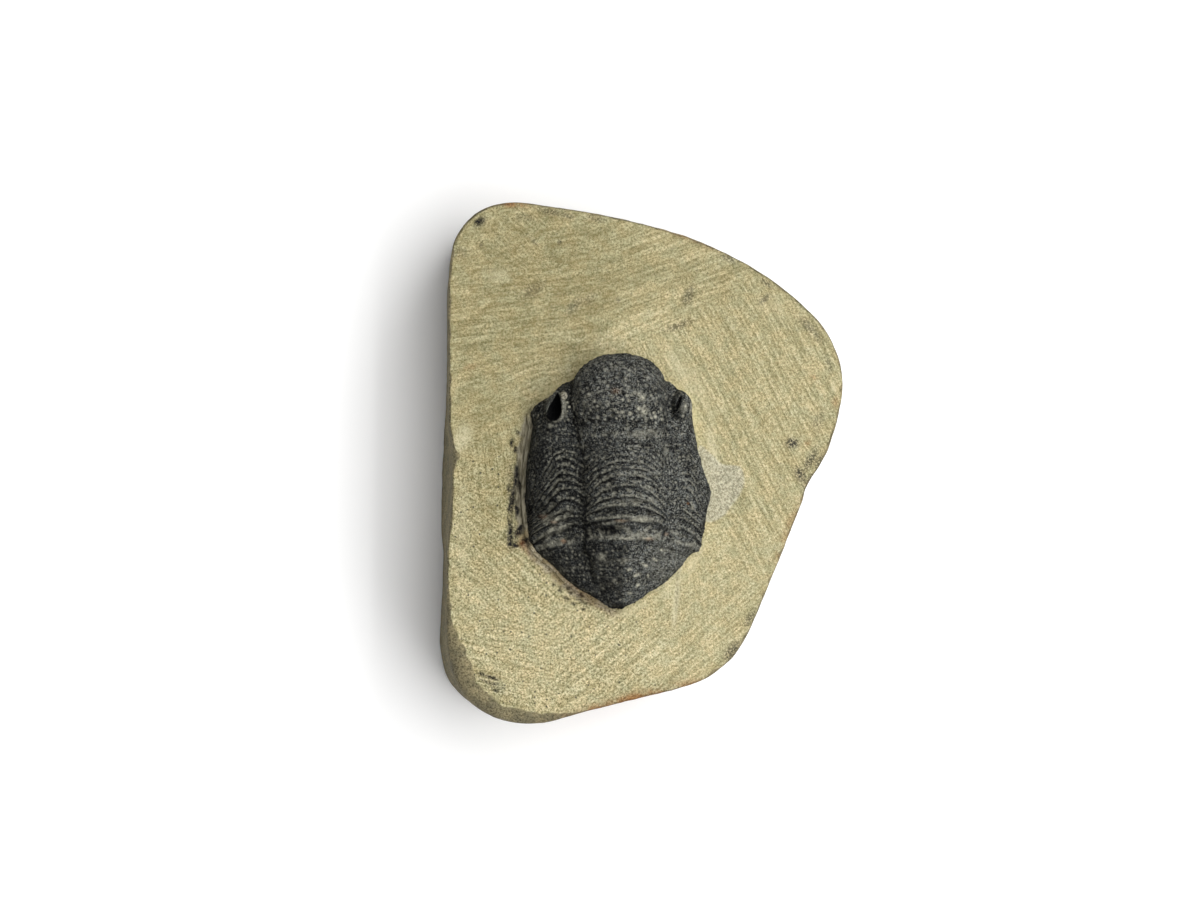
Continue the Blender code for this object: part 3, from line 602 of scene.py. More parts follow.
def offset_outline(outline, distance):
    """Move a closed anticlockwise outline outwards by a distance, or inwards where it is negative."""
    along = np.roll(outline, -1, axis=0) - np.roll(outline, 1, axis=0)
    outward = np.stack((along[:, 1], -along[:, 0]), axis=-1)
    outward /= np.linalg.norm(outward, axis=-1, keepdims=True)
    return outline + outward * np.reshape(distance, (-1, 1))


def headings_of(outline):
    """Direction of each point of an outline, seen from the trilobite's centre."""
    return np.arctan2(outline[:, 1] - FOSSIL_CENTRE[1], outline[:, 0] - FOSSIL_CENTRE[0])


def edge_shape(headings):
    """Bulge, undercut and rounding of the block's edge in the headings given."""
    return smooth_through(EDGE_SHAPE, np.degrees(headings) % 360)


def cast(outline, headings):
    """Where rays from the trilobite's centre meet an outline, in the headings given."""
    angles = headings_of(outline)
    radii = np.hypot(outline[:, 0] - FOSSIL_CENTRE[0], outline[:, 1] - FOSSIL_CENTRE[1])
    order = np.argsort(angles)
    reach = np.interp(headings, angles[order], radii[order], period=2 * math.pi)
    rays = np.stack((np.cos(headings), np.sin(headings)), axis=-1)
    return np.array(FOSSIL_CENTRE) + rays * reach[:, None]


def evenly_spaced(outline, count):
    """Points of a closed outline at equal distances along it."""
    closed = np.vstack((outline, outline[:1]))
    travelled = np.concatenate(([0.0], np.cumsum(np.linalg.norm(np.diff(closed, axis=0), axis=1))))
    stops = np.linspace(0.0, travelled[-1], count, endpoint=False)
    return np.stack([np.interp(stops, travelled, closed[:, axis]) for axis in (0, 1)], axis=-1)


def block_edge():
    """The block's edge seen from above, anticlockwise, with the middle of its box at the origin."""
    edge = closed_curve(BLOCK_EDGE[::-1], EDGE_POINTS)
    return edge - (edge.max(axis=0) + edge.min(axis=0)) / 2


def ahead_of_crease(points):
    """Distance past the crease, which runs across the face in front of the head."""
    ahead = -math.sin(CREASE_HEADING) * (points[..., 0] - CREASE_POINT[0])
    return ahead + math.cos(CREASE_HEADING) * (points[..., 1] - CREASE_POINT[1])


def face_height(points):
    """Height of the scraped face: level, and falling away gently past the crease."""
    past = CREASE_BLEND * np.logaddexp(0.0, ahead_of_crease(points) / CREASE_BLEND)
    return FACE_HEIGHT - CREASE_FALL * past


# Scraping marks on the face: heading in degrees, middle of the area across and along, its reach, and
# whether it lies past the crease (1) or before it (-1)
SWEEPS = (
    (8, -18, 24, 13, 1), (20, 6, 22, 13, 1), (20, -17, 9, 6, 1), (-62, 16, 8, 12, -1), (-62, 10, -8, 9, -1),
    (-42, -19, -12, 8, -1), (-12, -20, -27, 7, -1), (38, -5, -26, 8, -1), (38, 8, -18, 7, -1),
    (-82, -20, 0, 5, -1), (-82, 5, -18, 4, -1), (-42, -18, 29.5, 4.5, 1), (-42, -17.5, 29, 4, 1),
)
SWEEP_HEADINGS = (8, 20, -62, -42, -12, 38, -82)

# Soft spots of the face: across, along, half length, half width, turn in degrees, strength; gouges have
# their depth in its place
TONES = (
    (-15, 24, 17, 12, 15, -0.4), (8, 24, 14, 7, -25, -0.12), (-22, 6, 7, 7, 0, -0.35),
    (8, -17, 13, 12, 60, 0.2), (-12, -25, 10, 8, 0, 0.26), (-21, -3, 5, 9, 0, -0.34),
    (-3, 17, 7, 4.5, 0, 0.22), (-2, -26, 9, 5, 10, 0.32),
)
SMUDGES = (
    (-15.2, 22.7, 1.6, 0.8, 30, 0.5), (-9.7, 20.7, 1.5, 0.7, 45, 0.5), (-7.7, 21.6, 1.2, 0.6, 30, 0.4),
    (-4, 21.4, 0.35, 0.3, 0, 0.8), (5.4, 22, 1.4, 0.7, 70, 0.6), (4.1, 18.1, 1.9, 0.5, 20, 0.6),
    (15.6, 21.7, 0.9, 0.4, 45, 0.7), (19.3, 2.6, 0.9, 0.7, 0, 1.2), (20.4, -1.6, 1.1, 0.7, -60, 1),
    (11.4, -25, 1.6, 1, 50, 0.9), (-22.2, 31.6, 1, 0.5, 40, 0.6), (-18.2, -3, 3, 0.5, 88, 0.5),
    (13.6, -20.6, 1.2, 0.5, 60, 0.7), (21.6, -2.6, 1.2, 0.6, 60, 1), (23, 0.2, 1.2, 0.5, 60, 0.8),
    (-18.2, -9.4, 2, 0.7, 85, 0.6), (-9, -17.6, 1.8, 0.6, -40, 0.3), (10.8, 27, 1.4, 0.35, -27, 0.7),
    (15.9, 23.8, 1, 0.35, -35, 0.7), (21.6, 18.1, 1.8, 0.6, -45, 0.6), (22.8, 16.7, 1, 0.5, -60, 0.5),
    (24.2, 13.3, 1.2, 0.3, -75, 0.5), (21.8, 0.4, 1.8, 0.6, 60, 0.8), (22.8, 5.5, 1.5, 0.7, 70, 0.35),
    (-12.7, 33.1, 1.8, 0.5, -12, 0.6), (-10.5, 32.6, 1, 0.4, -12, 0.6), (-7, 32.3, 1.5, 0.4, -12, 0.5),
    (-16.2, 32.4, 1.4, 0.5, 0, 0.35), (-11.6, 29.1, 0.35, 0.3, 0, 0.8), (-22, 28.7, 0.3, 0.3, 0, 0.7),
    (-25, 27.6, 1.5, 0.8, 0, 0.3), (-15.1, 29.3, 0.9, 0.3, -45, 0.5),
)
CRACKS = (
    (-17.5, -2, 1.69, 0.23, 88, 1), (-17.1, -3, 1.17, 0.16, 92, 0.8), (-18.1, -5.3, 1.23, 0.35, 84, 1),
    (-17.4, -6.2, 0.91, 0.27, 95, 0.9), (-16.3, -4.5, 0.65, 0.22, 90, 0.8),
    (-18.2, -9.6, 1.56, 0.27, 86, 0.9), (-17, -8.9, 0.72, 0.41, 60, 1), (-15.6, -10.1, 0.78, 0.38, 60, 1),
    (-16.4, -10.4, 0.65, 0.41, 30, 0.8), (-18.1, 2.5, 0.65, 0.23, 80, 0.8),
    (-17.6, 1.7, 0.45, 0.19, 100, 0.7), (-15.3, 5.6, 0.78, 0.3, 70, 0.9), (-15, 6.6, 0.65, 0.27, 40, 0.7),
    (-17.6, -11, 0.65, 0.34, 20, 0.8), (-17.3, 3.9, 0.39, 0.16, 90, 0.6), (-9, -17.5, 0.45, 0.22, 0, 0.8),
    (-8, -18.4, 0.3, 0.14, 0, 0.8), (-10.6, -16.5, 0.39, 0.2, 0, 0.7), (-16, -7.4, 0.52, 0.19, 90, 0.6),
    (-18.5, -7.6, 0.78, 0.19, 88, 0.7), (-20.4, -29.2, 1.4, 0.13, -18, 0.8),
    (-22.2, 31.75, 0.62, 0.42, 10, 1),
)
SCRATCHES = (
    (-22, -27.75, 0.5, 0.2, -22, 1), (-20.7, -28.2, 0.95, 0.19, -16, 1),
    (-20.1, -29.9, 0.35, 0.22, -10, 0.8), (-22.2, 31.75, 0.5, 0.38, 20, 1),
    (-18.5, -3.4, 0.4, 0.16, 92, 0.9), (-18.3, -10.8, 0.3, 0.3, 0, 0.8),
    (-10.9, -17.9, 0.5, 0.18, -30, 0.8), (-9.9, -18.6, 0.35, 0.16, -20, 0.8),
    (-11.7, -16.9, 0.3, 0.16, -50, 0.7), (-10.2, -17.1, 0.25, 0.14, 0, 0.7),
    (-8.6, -19.3, 0.3, 0.14, -10, 0.6), (-12.6, -16.1, 0.25, 0.15, -40, 0.6),
)
CRACK_DEPTH = 0.28
GOUGES = (
    (-17.9, -4.5, 3.6, 0.16, 86, 0.22), (-17.3, -2, 2.4, 0.13, 92, 0.18),
    (-18.4, -9.3, 1.6, 0.22, 84, 0.25), (-17.5, -9.9, 1.3, 0.18, 95, 0.22),
    (-16.9, 2.6, 1.6, 0.14, 80, 0.2), (-21.3, -28.8, 2.1, 0.2, -26, 0.22),
    (-20.4, -29.8, 1.5, 0.14, -22, 0.14), (-19.6, 29.6, 3.4, 0.1, -46, 0.08),
    (-18.2, 29.3, 3.2, 0.1, -46, 0.07), (-8.9, -18.2, 0.9, 0.2, -50, 0.2),
    (-11.5, -16.4, 0.5, 0.25, 0, 0.2), (3.8, -16.6, 4, 0.25, 88, 0.12),
)
PALE_PATCHES = (
    (-24.8, 3, 2.2, 1.2, 60, 0.9), (24.8, 10.1, 0.8, 0.35, 85, 0.7), (-19.8, 24.7, 1.8, 0.9, 0, 0.5),
    (6.2, -12.6, 2.2, 0.7, 60, 0.8), (3.2, -16, 2.4, 0.9, 50, 0.7), (-2.4, -19.4, 3, 0.6, 25, 0.6),
    (3.8, -17.4, 4.8, 0.42, 84, 1.3), (8.6, 1.8, 3.2, 0.7, 100, 0.9), (-16.4, -2, 7, 0.7, 90, 0.5),
    (5.2, 11.2, 5.5, 1.5, -52, 0.5), (-12.6, 8.2, 4.5, 0.6, 36, 0.8), (-24.6, -9, 8, 0.8, 90, 0.3),
    (16.5, 20.5, 2, 1.6, -40, 0.3),
)
STAINS = (
    (-1.5, -31.2, 9.5, 1, 14, 1), (-17.5, 34, 1.9, 0.4, -3, 0.9), (25, 7.9, 1, 0.5, 75, 0.4),
    (22.2, 11.4, 0.5, 0.25, -40, 0.5), (21.4, 2.7, 0.5, 0.4, 0, 0.5), (-10.2, -15.2, 5, 0.9, -44, 0.45),
    (-16.6, -10.8, 1.6, 0.5, -60, 0.6), (-23.6, 12.6, 1.2, 0.4, 10, 0.3), (18.6, -9, 6, 0.6, 66, 0.35),
    (6, 29.6, 6, 0.5, -22, 0.3),
)

# Outline of the smooth smear beside the fossil
SMEAR = (
    (6.6, 2.2), (8.4, 1.2), (9.9, -0.1), (12.3, -0.5), (12.9, -2.4), (12.3, -4.2), (11.3, -5.6),
    (9.8, -7.3), (7.8, -7.9), (6.4, -6.6), (5.6, -2.6),
)
SMEAR_POINTS = 240
SMEAR_RISE = 0.09


def block_grid():
    """Return closed rings of points over wall and face, how far in each point is, and the chamfer there."""
    edge = block_edge()
    bulge, undercut, rounding = edge_shape(headings_of(edge))
    edge = offset_outline(edge, bulge)
    headings = headings_of(evenly_spaced(edge, AROUND))
    edge_top = face_height(edge)
    rings = []
    insets = []

    def add(plan, heights, inset):
        rings.append(np.column_stack((plan, heights)))
        insets.append(np.full(AROUND, inset))

    def add_outline(inset, heights, depth):
        angles = headings_of(offset_outline(edge, -inset))
        order = np.argsort(angles)
        level = np.interp(headings, angles[order], heights[order], period=2 * math.pi)
        add(cast(offset_outline(edge, -inset), headings), level, depth)

    for level, inset in FOOT_LEVELS:
        add_outline(inset + undercut, np.full(len(edge), level), -1.0)
    foot = FOOT_LEVELS[-1][0]
    for step in np.linspace(0.0, 1.0, WALL_RINGS + 2)[1:-1]:
        add_outline(undercut * (1 - step), foot + (edge_top - rounding - foot) * step, -1.0)
    for step in np.linspace(0.0, math.pi / 2, ROUND_RINGS):
        inset = rounding * (1 - math.cos(step))
        add_outline(inset, edge_top - rounding * (1 - math.sin(step)), -math.cos(step))

    lip = fossil_outline() + np.array(FOSSIL_CENTRE)
    mound_foot = cast(offset_outline(lip, MOUND_REACH), headings)
    rim = rings[-1][:, :2]
    for step in np.linspace(0.0, 1.0, FACE_RINGS + 1)[1:-1]:
        plan = rim + (mound_foot - rim) * step
        add(plan, face_height(plan), 0.0)
        insets[-1] = np.linalg.norm(plan - rim, axis=1)
    for step in np.linspace(1.0, 0.0, MOUND_RINGS):
        plan = cast(offset_outline(lip, MOUND_REACH * step), headings)
        add(plan, face_height(plan) + MOUND_HEIGHT * (1 - ease(0.0, 1.0, step)), 0.0)
        insets[-1] = np.linalg.norm(plan - rim, axis=1)
    seat = cast(offset_outline(lip, -SEAT_INSET), headings)
    for drop in (0.0, SEAT_DEPTH):
        add(seat, np.full(AROUND, FACE_HEIGHT + MOUND_HEIGHT - drop), 0.0)
        insets[-1] = insets[-2]
    chamfer = ease(0.4, 2.0, edge_shape(headings)[2])
    return np.array(rings), np.array(insets), chamfer


def sweep_weights(points):
    """Share of each scraping direction at each point of the face, in the order of SWEEP_HEADINGS."""
    past = ease(-0.6, 0.6, ahead_of_crease(points))
    shares = {heading: np.full(points.shape[:-1], 1e-6) for heading in SWEEP_HEADINGS}
    for heading, middle_x, middle_y, reach, side in SWEEPS:
        distance = np.hypot(points[..., 0] - middle_x, points[..., 1] - middle_y)
        weight = np.exp(-((distance / reach) ** 2))
        shares[heading] += weight * (past if side > 0 else 1 - past) ** 2
    total = sum(shares.values())
    return [share / total for share in shares.values()]


def smear_mask(points):
    """1 inside the smooth smear of paler stone beside the fossil, 0 outside it."""
    outline = closed_curve(SMEAR, SMEAR_POINTS)
    middle = outline.mean(axis=0)
    angles = np.arctan2(outline[:, 1] - middle[1], outline[:, 0] - middle[0])
    order = np.argsort(angles)
    radii = np.hypot(*(outline - middle).T)[order]
    off_x, off_y = points[..., 0] - middle[0], points[..., 1] - middle[1]
    reach = np.interp(np.arctan2(off_y, off_x), angles[order], radii, period=2 * math.pi)
    return 1 - ease(-0.25, 0.12, np.hypot(off_x, off_y) - reach)


def distance_from_fossil(points):
    """How far each point lies outside the fossil's outline, measured along the ray from its centre."""
    flat = points.reshape(-1, 3)[:, :2]
    edge = cast(fossil_outline() + np.array(FOSSIL_CENTRE), headings_of(flat))
    centre = np.array(FOSSIL_CENTRE)
    gap = np.linalg.norm(flat - centre, axis=1) - np.linalg.norm(edge - centre, axis=1)
    return gap.reshape(points.shape[:-1])


def raise_face(points, on_face, beside, shares, smear, gouged, cracked):
    """Raise the scraping marks, grain, cracks and gouges of the face, and leave the pocket's wall smooth."""
    scraped = sum(
        share * noise_over(points, 1.0, 20 + number, (0.09, 1.0, 0.3), math.radians(heading))
        for number, (heading, share) in enumerate(zip(SWEEP_HEADINGS, shares))
    )
    relief = 0.065 * scraped * (1 - 0.8 * smear) + 0.08 * noise_over(points, 0.13, 30)
    relief += 0.03 * noise_over(points, 0.9, 31) * (1 - smear) + SMEAR_RISE * smear - gouged
    relief -= CRACK_DEPTH * cracked
    relief += 0.05 * noise_over(points, 0.5, 32) * ridge(beside, 0.0, 2.0)
    seat = 1 - ease(-0.1, 0.6, beside)
    points[..., 2] += relief * on_face * (1 - seat)


def wear_wall(points, on_face):
    """Wear the wall back unevenly, but not its foot."""
    outward = points[..., :2] - np.array(FOSSIL_CENTRE)
    outward /= np.linalg.norm(outward, axis=-1, keepdims=True)
    worn = 0.10 * (noise_over(points, 0.16, 33) + 1) + 0.05 * (noise_over(points, 0.5, 34) + 1)
    worn += 0.03 * (noise_over(points, 1.3, 35) + 1)
    worn += 0.12 * np.clip(noise_over(points, 0.35, 36) - 0.25, 0, 1)
    lifted = ease(0.0, 0.6, points[..., 2])
    points[..., :2] -= outward * (worn * (1 - on_face) * lifted)[..., None]


def margin_paint(points, beside, ragged):
    """Where the stone beside the fossil is scored at its left, browner at its tail and pale at its head."""
    across, along = points[..., 0], points[..., 1]
    reach = beside + 1.5 * ragged + 0.25 * noise_over(points, 2.2, 39)
    scored = (1 - ease(1.0, 1.5, reach)) * ease(-10.5, -11.5, across) * ease(-10.5, -9.0, along)
    scored *= 1 - ease(5.0, 7.0, along)
    brownish = (1 - ease(0.7, 1.4, reach)) * ease(-3.0, -6.0, across) * (1 - ease(-9.5, -8.0, along))
    head_rim = (1 - ease(0.4, 1.3, reach)) * ease(-1.0, 8.0, along) * ease(-15.5, -13.0, across)
    return np.stack([scored, brownish, head_rim], axis=-1)


def matrix_grid():
    """Return the block's surface with its relief, and its paint."""
    points, inset, chamfer = block_grid()
    across, along = points[..., 0], points[..., 1]
    on_face = ease(-0.6, 0.15, inset)
    beside = distance_from_fossil(points)
    shares = sweep_weights(points)
    smear = smear_mask(points)
    ragged = 0.3 * noise_over(points, 1.1, 38)
    gouged = spots(across, along, GOUGES)
    cracked = spots(across + ragged, along + 1.6 * ragged, CRACKS)
    cracked = np.clip(1.6 * np.maximum(cracked, spots(across, along, SCRATCHES)), 0.0, 1.0)
    raise_face(points, on_face, beside, shares, smear, gouged, cracked)
    wear_wall(points, on_face)
    paint = {
        "sweep_a": np.stack(shares[:3], axis=-1),
        "sweep_b": np.stack(shares[3:6], axis=-1),
        "sweep_c": shares[6],
        "margin": margin_paint(points, beside, ragged) * on_face[..., None],
        "crack": cracked * on_face,
        "tone": spots(across, along, TONES) * on_face,
        "smudge": np.clip(spots(across, along, SMUDGES) + gouged * 3.0, 0.0, 1.0),
        "bright": np.clip(spots(across, along, PALE_PATCHES), 0.0, 1.0) * on_face,
        "stain": np.clip(spots(across, along, STAINS), 0.0, 1.0),
        "smear": smear * on_face,
        "rind": 1 - ease(-0.7, 0.25, inset - 0.6 * chamfer - 0.3 - 0.45 * noise_over(points, 0.7, 37)),
        "speckled": 0.3 + 0.7 * ease(8.0, -8.0, across) * (1 - ease(-2.0, 6.0, along)),
    }
    return points, paint


def add_paint(mesh, paint):
    """Store painted values on a mesh's points."""
    for name, values in paint.items():
        if values.ndim == 2:
            attribute = mesh.attributes.new(name, "FLOAT_VECTOR", "POINT")
            attribute.data.foreach_set("vector", np.ascontiguousarray(values, dtype=np.float32).ravel())
        else:
            attribute = mesh.attributes.new(name, "FLOAT", "POINT")
            attribute.data.foreach_set("value", np.ascontiguousarray(values, dtype=np.float32))


def add_object(name, data):
    """Make an object of a mesh, camera or light and link it to the scene."""
    thing = bpy.data.objects.new(name, data)
    bpy.context.scene.collection.objects.link(thing)
    return thing


def finish_mesh(name, bm, material):
    """Turn millimetres into metres and make an object with smooth shading."""
    bmesh.ops.recalc_face_normals(bm, faces=bm.faces)
    bmesh.ops.scale(bm, vec=(MM, MM, MM), verts=bm.verts)
    mesh = bpy.data.meshes.new(name)
    bm.to_mesh(mesh)
    bm.free()
    mesh.materials.append(material)
    mesh.shade_smooth()
    return add_object(name, mesh)


def pull_to_level(points, form):
    """Pull the surface up or down to an egg-shaped form, and return how far out in it each point is."""
    middle_x, middle_y, level, half_width, half_length, taper, turn = form
    angle = math.radians(turn)
    off_x, off_y = points[..., 0] - middle_x, points[..., 1] - middle_y
    lengthways = (off_y * math.cos(angle) - off_x * math.sin(angle)) / half_length
    sideways = (off_x * math.cos(angle) + off_y * math.sin(angle)) / (half_width * (1 - taper * lengthways))
    out = np.hypot(sideways, lengthways)
    points[..., 2] += (level - points[..., 2]) * np.sqrt(np.clip(1 - out**2, 0.0, 1.0))
    return out


def form_eyes(points, paint):
    """Raise the eyes and the knob from the cheeks, sink the hollow and the groove, and colour them, with
    painted shade filling the hollow and the groove.
    """
    rough = 0.06 * noise_over(points, 2.4, 14) + 0.04 * noise_over(points, 4.2, 15)
    left_eye = pull_to_level(points, LEFT_EYE)
    right_eye = pull_to_level(points, RIGHT_EYE)
    points[..., 2] += rough * ease(1.0, 0.8, np.minimum(left_eye, right_eye))
    knob = pull_to_level(points, LEFT_KNOB) < 0.9
    out_of_hollow = pull_to_level(points, LEFT_HOLLOW)
    groove = pull_to_level(points, RIGHT_GROOVE) < 0.9
    hollow = out_of_hollow < 0.95
    rim = (left_eye < 0.92) & ~hollow
    uneven = 0.8 + 0.8 * noise_over(points, 3.0, 16)
    low_edge = ridge(out_of_hollow, 1.03, 0.08) * (0.15 + 0.85 * ease(10.0, 8.6, points[..., 1]))
    rim_pale = 0.08 + 0.35 * low_edge + 0.35 * ease(-8.7, -8.1, points[..., 0])
    paint["pale"] = np.where(rim, rim_pale * uneven, paint["pale"])
    paint["pale"] = np.where(knob, 0.85 * uneven, np.where(hollow, 0.0, paint["pale"]))
    paint["warm"] = np.where(knob, 0.12, paint["warm"])
    # Painted shade: the left eye's hollow is black and the right eye's groove nearly so.
    paint["dark"] = np.where(hollow, 1.0, np.where(knob | rim, 0.0, paint["dark"]))
    paint["dark"] = np.where(groove, 0.95, paint["dark"])
    paint["shade"] = np.where(knob | rim, 0.0, paint["shade"])


def make_trilobite():
    """The fossil: a grid bent over the animal, closed by a short skirt and a flat underside."""
    points, paint = fossil_grid()
    form_eyes(points, paint)
    rows, columns = points.shape[0] - 1, points.shape[1] - 1
    bm = bmesh.new()
    cell = bm.verts.layers.int.new("cell")
    bmesh.ops.create_grid(bm, x_segments=columns, y_segments=rows, size=1.0)
    for vertex in bm.verts:
        column = round((vertex.co.x + 1) / 2 * columns)
        row = round((vertex.co.y + 1) / 2 * rows)
        vertex.co = points[row, column]
        vertex[cell] = row * (columns + 1) + column
    bmesh.ops.remove_doubles(bm, verts=bm.verts, dist=TIP_MERGE)
    rim = [edge for edge in bm.edges if edge.is_boundary]
    skirt = bmesh.ops.extrude_edge_only(bm, edges=rim)["geom"]
    for vertex in (item for item in skirt if isinstance(item, bmesh.types.BMVert)):
        vertex.co.z = MARGIN_HEIGHT - SKIRT_DEPTH
    bmesh.ops.contextual_create(bm, geom=[item for item in skirt if isinstance(item, bmesh.types.BMEdge)])
    bmesh.ops.translate(bm, vec=(*FOSSIL_CENTRE, FACE_HEIGHT + FOSSIL_LIFT), verts=bm.verts)
    piece = finish_mesh("trilobite_visual", bm, fossil_material())
    mesh = piece.data
    cells = np.empty(len(mesh.vertices), dtype=np.int32)
    mesh.attributes["cell"].data.foreach_get("value", cells)
    mesh.attributes.remove(mesh.attributes["cell"])
    add_paint(mesh, {name: values.reshape(-1)[cells] for name, values in paint.items()})
    return piece


def make_matrix():
    """The block: closed rings of points lofted from the underside over the wall and face to the seat."""
    points, paint = matrix_grid()
    bm = bmesh.new()
    loops = [[bm.verts.new(point) for point in ring] for ring in points]
    for lower, upper in zip(loops, loops[1:]):
        for here in range(AROUND):
            after = (here + 1) % AROUND
            bm.faces.new((lower[here], lower[after], upper[after], upper[here]))
    bm.faces.new(loops[0])
    bm.faces.new(loops[-1])
    piece = finish_mesh("matrix_visual", bm, matrix_material())
    add_paint(piece.data, {name: values.reshape(-1, *values.shape[2:]) for name, values in paint.items()})
    return piece


class Nodes:
    """Short calls for building one material's nodes."""

    def __init__(self, name):
        self.material = bpy.data.materials.new(name)
        self.material.use_nodes = True
        self.tree = self.material.node_tree
        self.shader = self.tree.nodes["Principled BSDF"]
        place = self.tree.nodes.new("ShaderNodeTexCoord").outputs["Object"]
        self.place = self.vector("SCALE", place, scale=1 / MM)

    def join(self, source, socket):
        """Link a socket, or set it where the source is a plain value."""
        if isinstance(source, bpy.types.NodeSocket):
            self.tree.links.new(source, socket)
        else:
            socket.default_value = source

    def vector(self, operation, first, second=None, scale=None):
        node = self.tree.nodes.new("ShaderNodeVectorMath")
        node.operation = operation
        self.join(first, node.inputs[0])
        if second is not None:
            self.join(second, node.inputs[1])
        if scale is not None:
            self.join(scale, node.inputs["Scale"])
        return node.outputs[0]

    def math(self, operation, first, second=0.0, third=0.0, clamp=False):
        node = self.tree.nodes.new("ShaderNodeMath")
        node.operation = operation
        node.use_clamp = clamp
        for socket, value in zip(node.inputs, (first, second, third)):
            self.join(value, socket)
        return node.outputs[0]

    def times(self, first, second):
        return self.math("MULTIPLY", first, second)

    def sway(self, base, pattern, amount):
        """A value moved up or down by a noise around its middle."""
        return self.math("MULTIPLY_ADD", self.math("SUBTRACT", pattern, 0.5), amount, base)

    def paint(self, name, output="Fac"):
        """A value painted on the mesh."""
        node = self.tree.nodes.new("ShaderNodeAttribute")
        node.attribute_name = name
        return node.outputs[output]

    def paint_parts(self, name):
        """Three values painted on the mesh as one vector."""
        return self.split(self.paint(name, "Vector"))

    def split(self, vector):
        node = self.tree.nodes.new("ShaderNodeSeparateXYZ")
        self.join(vector, node.inputs[0])
        return node.outputs[:3]

    def noise(self, scale, detail=2.0, roughness=0.5, turn=0.0, stretch=(1.0, 1.0, 1.0), shift=0.0):
        """Noise of 0 to 1, with scale in features to the millimetre, drawn out along a heading."""
        mapping = self.tree.nodes.new("ShaderNodeMapping")
        mapping.vector_type = "TEXTURE"
        self.join(self.place, mapping.inputs["Vector"])
        mapping.inputs["Rotation"].default_value[2] = math.radians(turn)
        mapping.inputs["Location"].default_value = (shift, shift * 0.7, 0.0)
        mapping.inputs["Scale"].default_value = [1 / share for share in stretch]
        node = self.tree.nodes.new("ShaderNodeTexNoise")
        self.join(mapping.outputs[0], node.inputs["Vector"])
        node.inputs["Scale"].default_value = scale
        node.inputs["Detail"].default_value = detail
        node.inputs["Roughness"].default_value = roughness
        return node.outputs["Fac"]

    def dots(self, scale, size, share, shift=0.0):
        """Scattered round dots: 1 in a dot and 0 between; share is how many of the cells hold one."""
        moved = self.vector("ADD", self.place, (shift, shift, shift))
        near = self.tree.nodes.new("ShaderNodeTexVoronoi")
        self.join(moved, near.inputs["Vector"])
        near.inputs["Scale"].default_value = scale
        picked = self.split(near.outputs["Color"])[0]
        lit = self.math("LESS_THAN", picked, share)
        inside = self.math("SUBTRACT", size, near.outputs["Distance"])
        soft = self.math("MULTIPLY", inside, 4.0 / size, clamp=True)
        return self.times(soft, lit)

    def ramp(self, value, low, high, start=0.0, end=1.0):
        """Turn values between low and high into values between start and end."""
        node = self.tree.nodes.new("ShaderNodeMapRange")
        node.interpolation_type = "SMOOTHSTEP"
        self.join(value, node.inputs["Value"])
        self.join(low, node.inputs["From Min"])
        self.join(high, node.inputs["From Max"])
        node.inputs["To Min"].default_value = start
        node.inputs["To Max"].default_value = end
        return node.outputs[0]

    def mix(self, factor, first, second, blend="MIX"):
        """Blend two colours."""
        node = self.tree.nodes.new("ShaderNodeMix")
        node.data_type = "RGBA"
        node.blend_type = blend
        self.join(factor, node.inputs["Factor"])
        self.join(first, node.inputs[6])
        self.join(second, node.inputs[7])
        return node.outputs[2]

    def lightness(self, value):
        """A colour to multiply by: yellower where the value is low, paler where it is high."""
        node = self.tree.nodes.new("ShaderNodeCombineColor")
        for socket, power in zip(node.inputs, (1.0, 1.0, 1.25)):
            self.join(self.math("POWER", value, power), socket)
        return node.outputs[0]

    def finish(self, colour, roughness, height, depth):
        """Link the shader's colour, roughness and a small relief of that depth in millimetres."""
        node = self.tree.nodes.new("ShaderNodeBump")
        node.inputs["Distance"].default_value = depth * MM
        self.join(height, node.inputs["Height"])
        self.join(colour, self.shader.inputs["Base Color"])
        self.join(roughness, self.shader.inputs["Roughness"])
        self.join(node.outputs[0], self.shader.inputs["Normal"])
        return self.material


def srgb(red, green, blue):
    """A colour as seen on a screen, 0 to 255, as the shader's own linear values."""
    shares = [part / 255 for part in (red, green, blue)]
    linear = [part / 12.92 if part <= 0.04045 else ((part + 0.055) / 1.055) ** 2.4 for part in shares]
    return (*linear, 1.0)


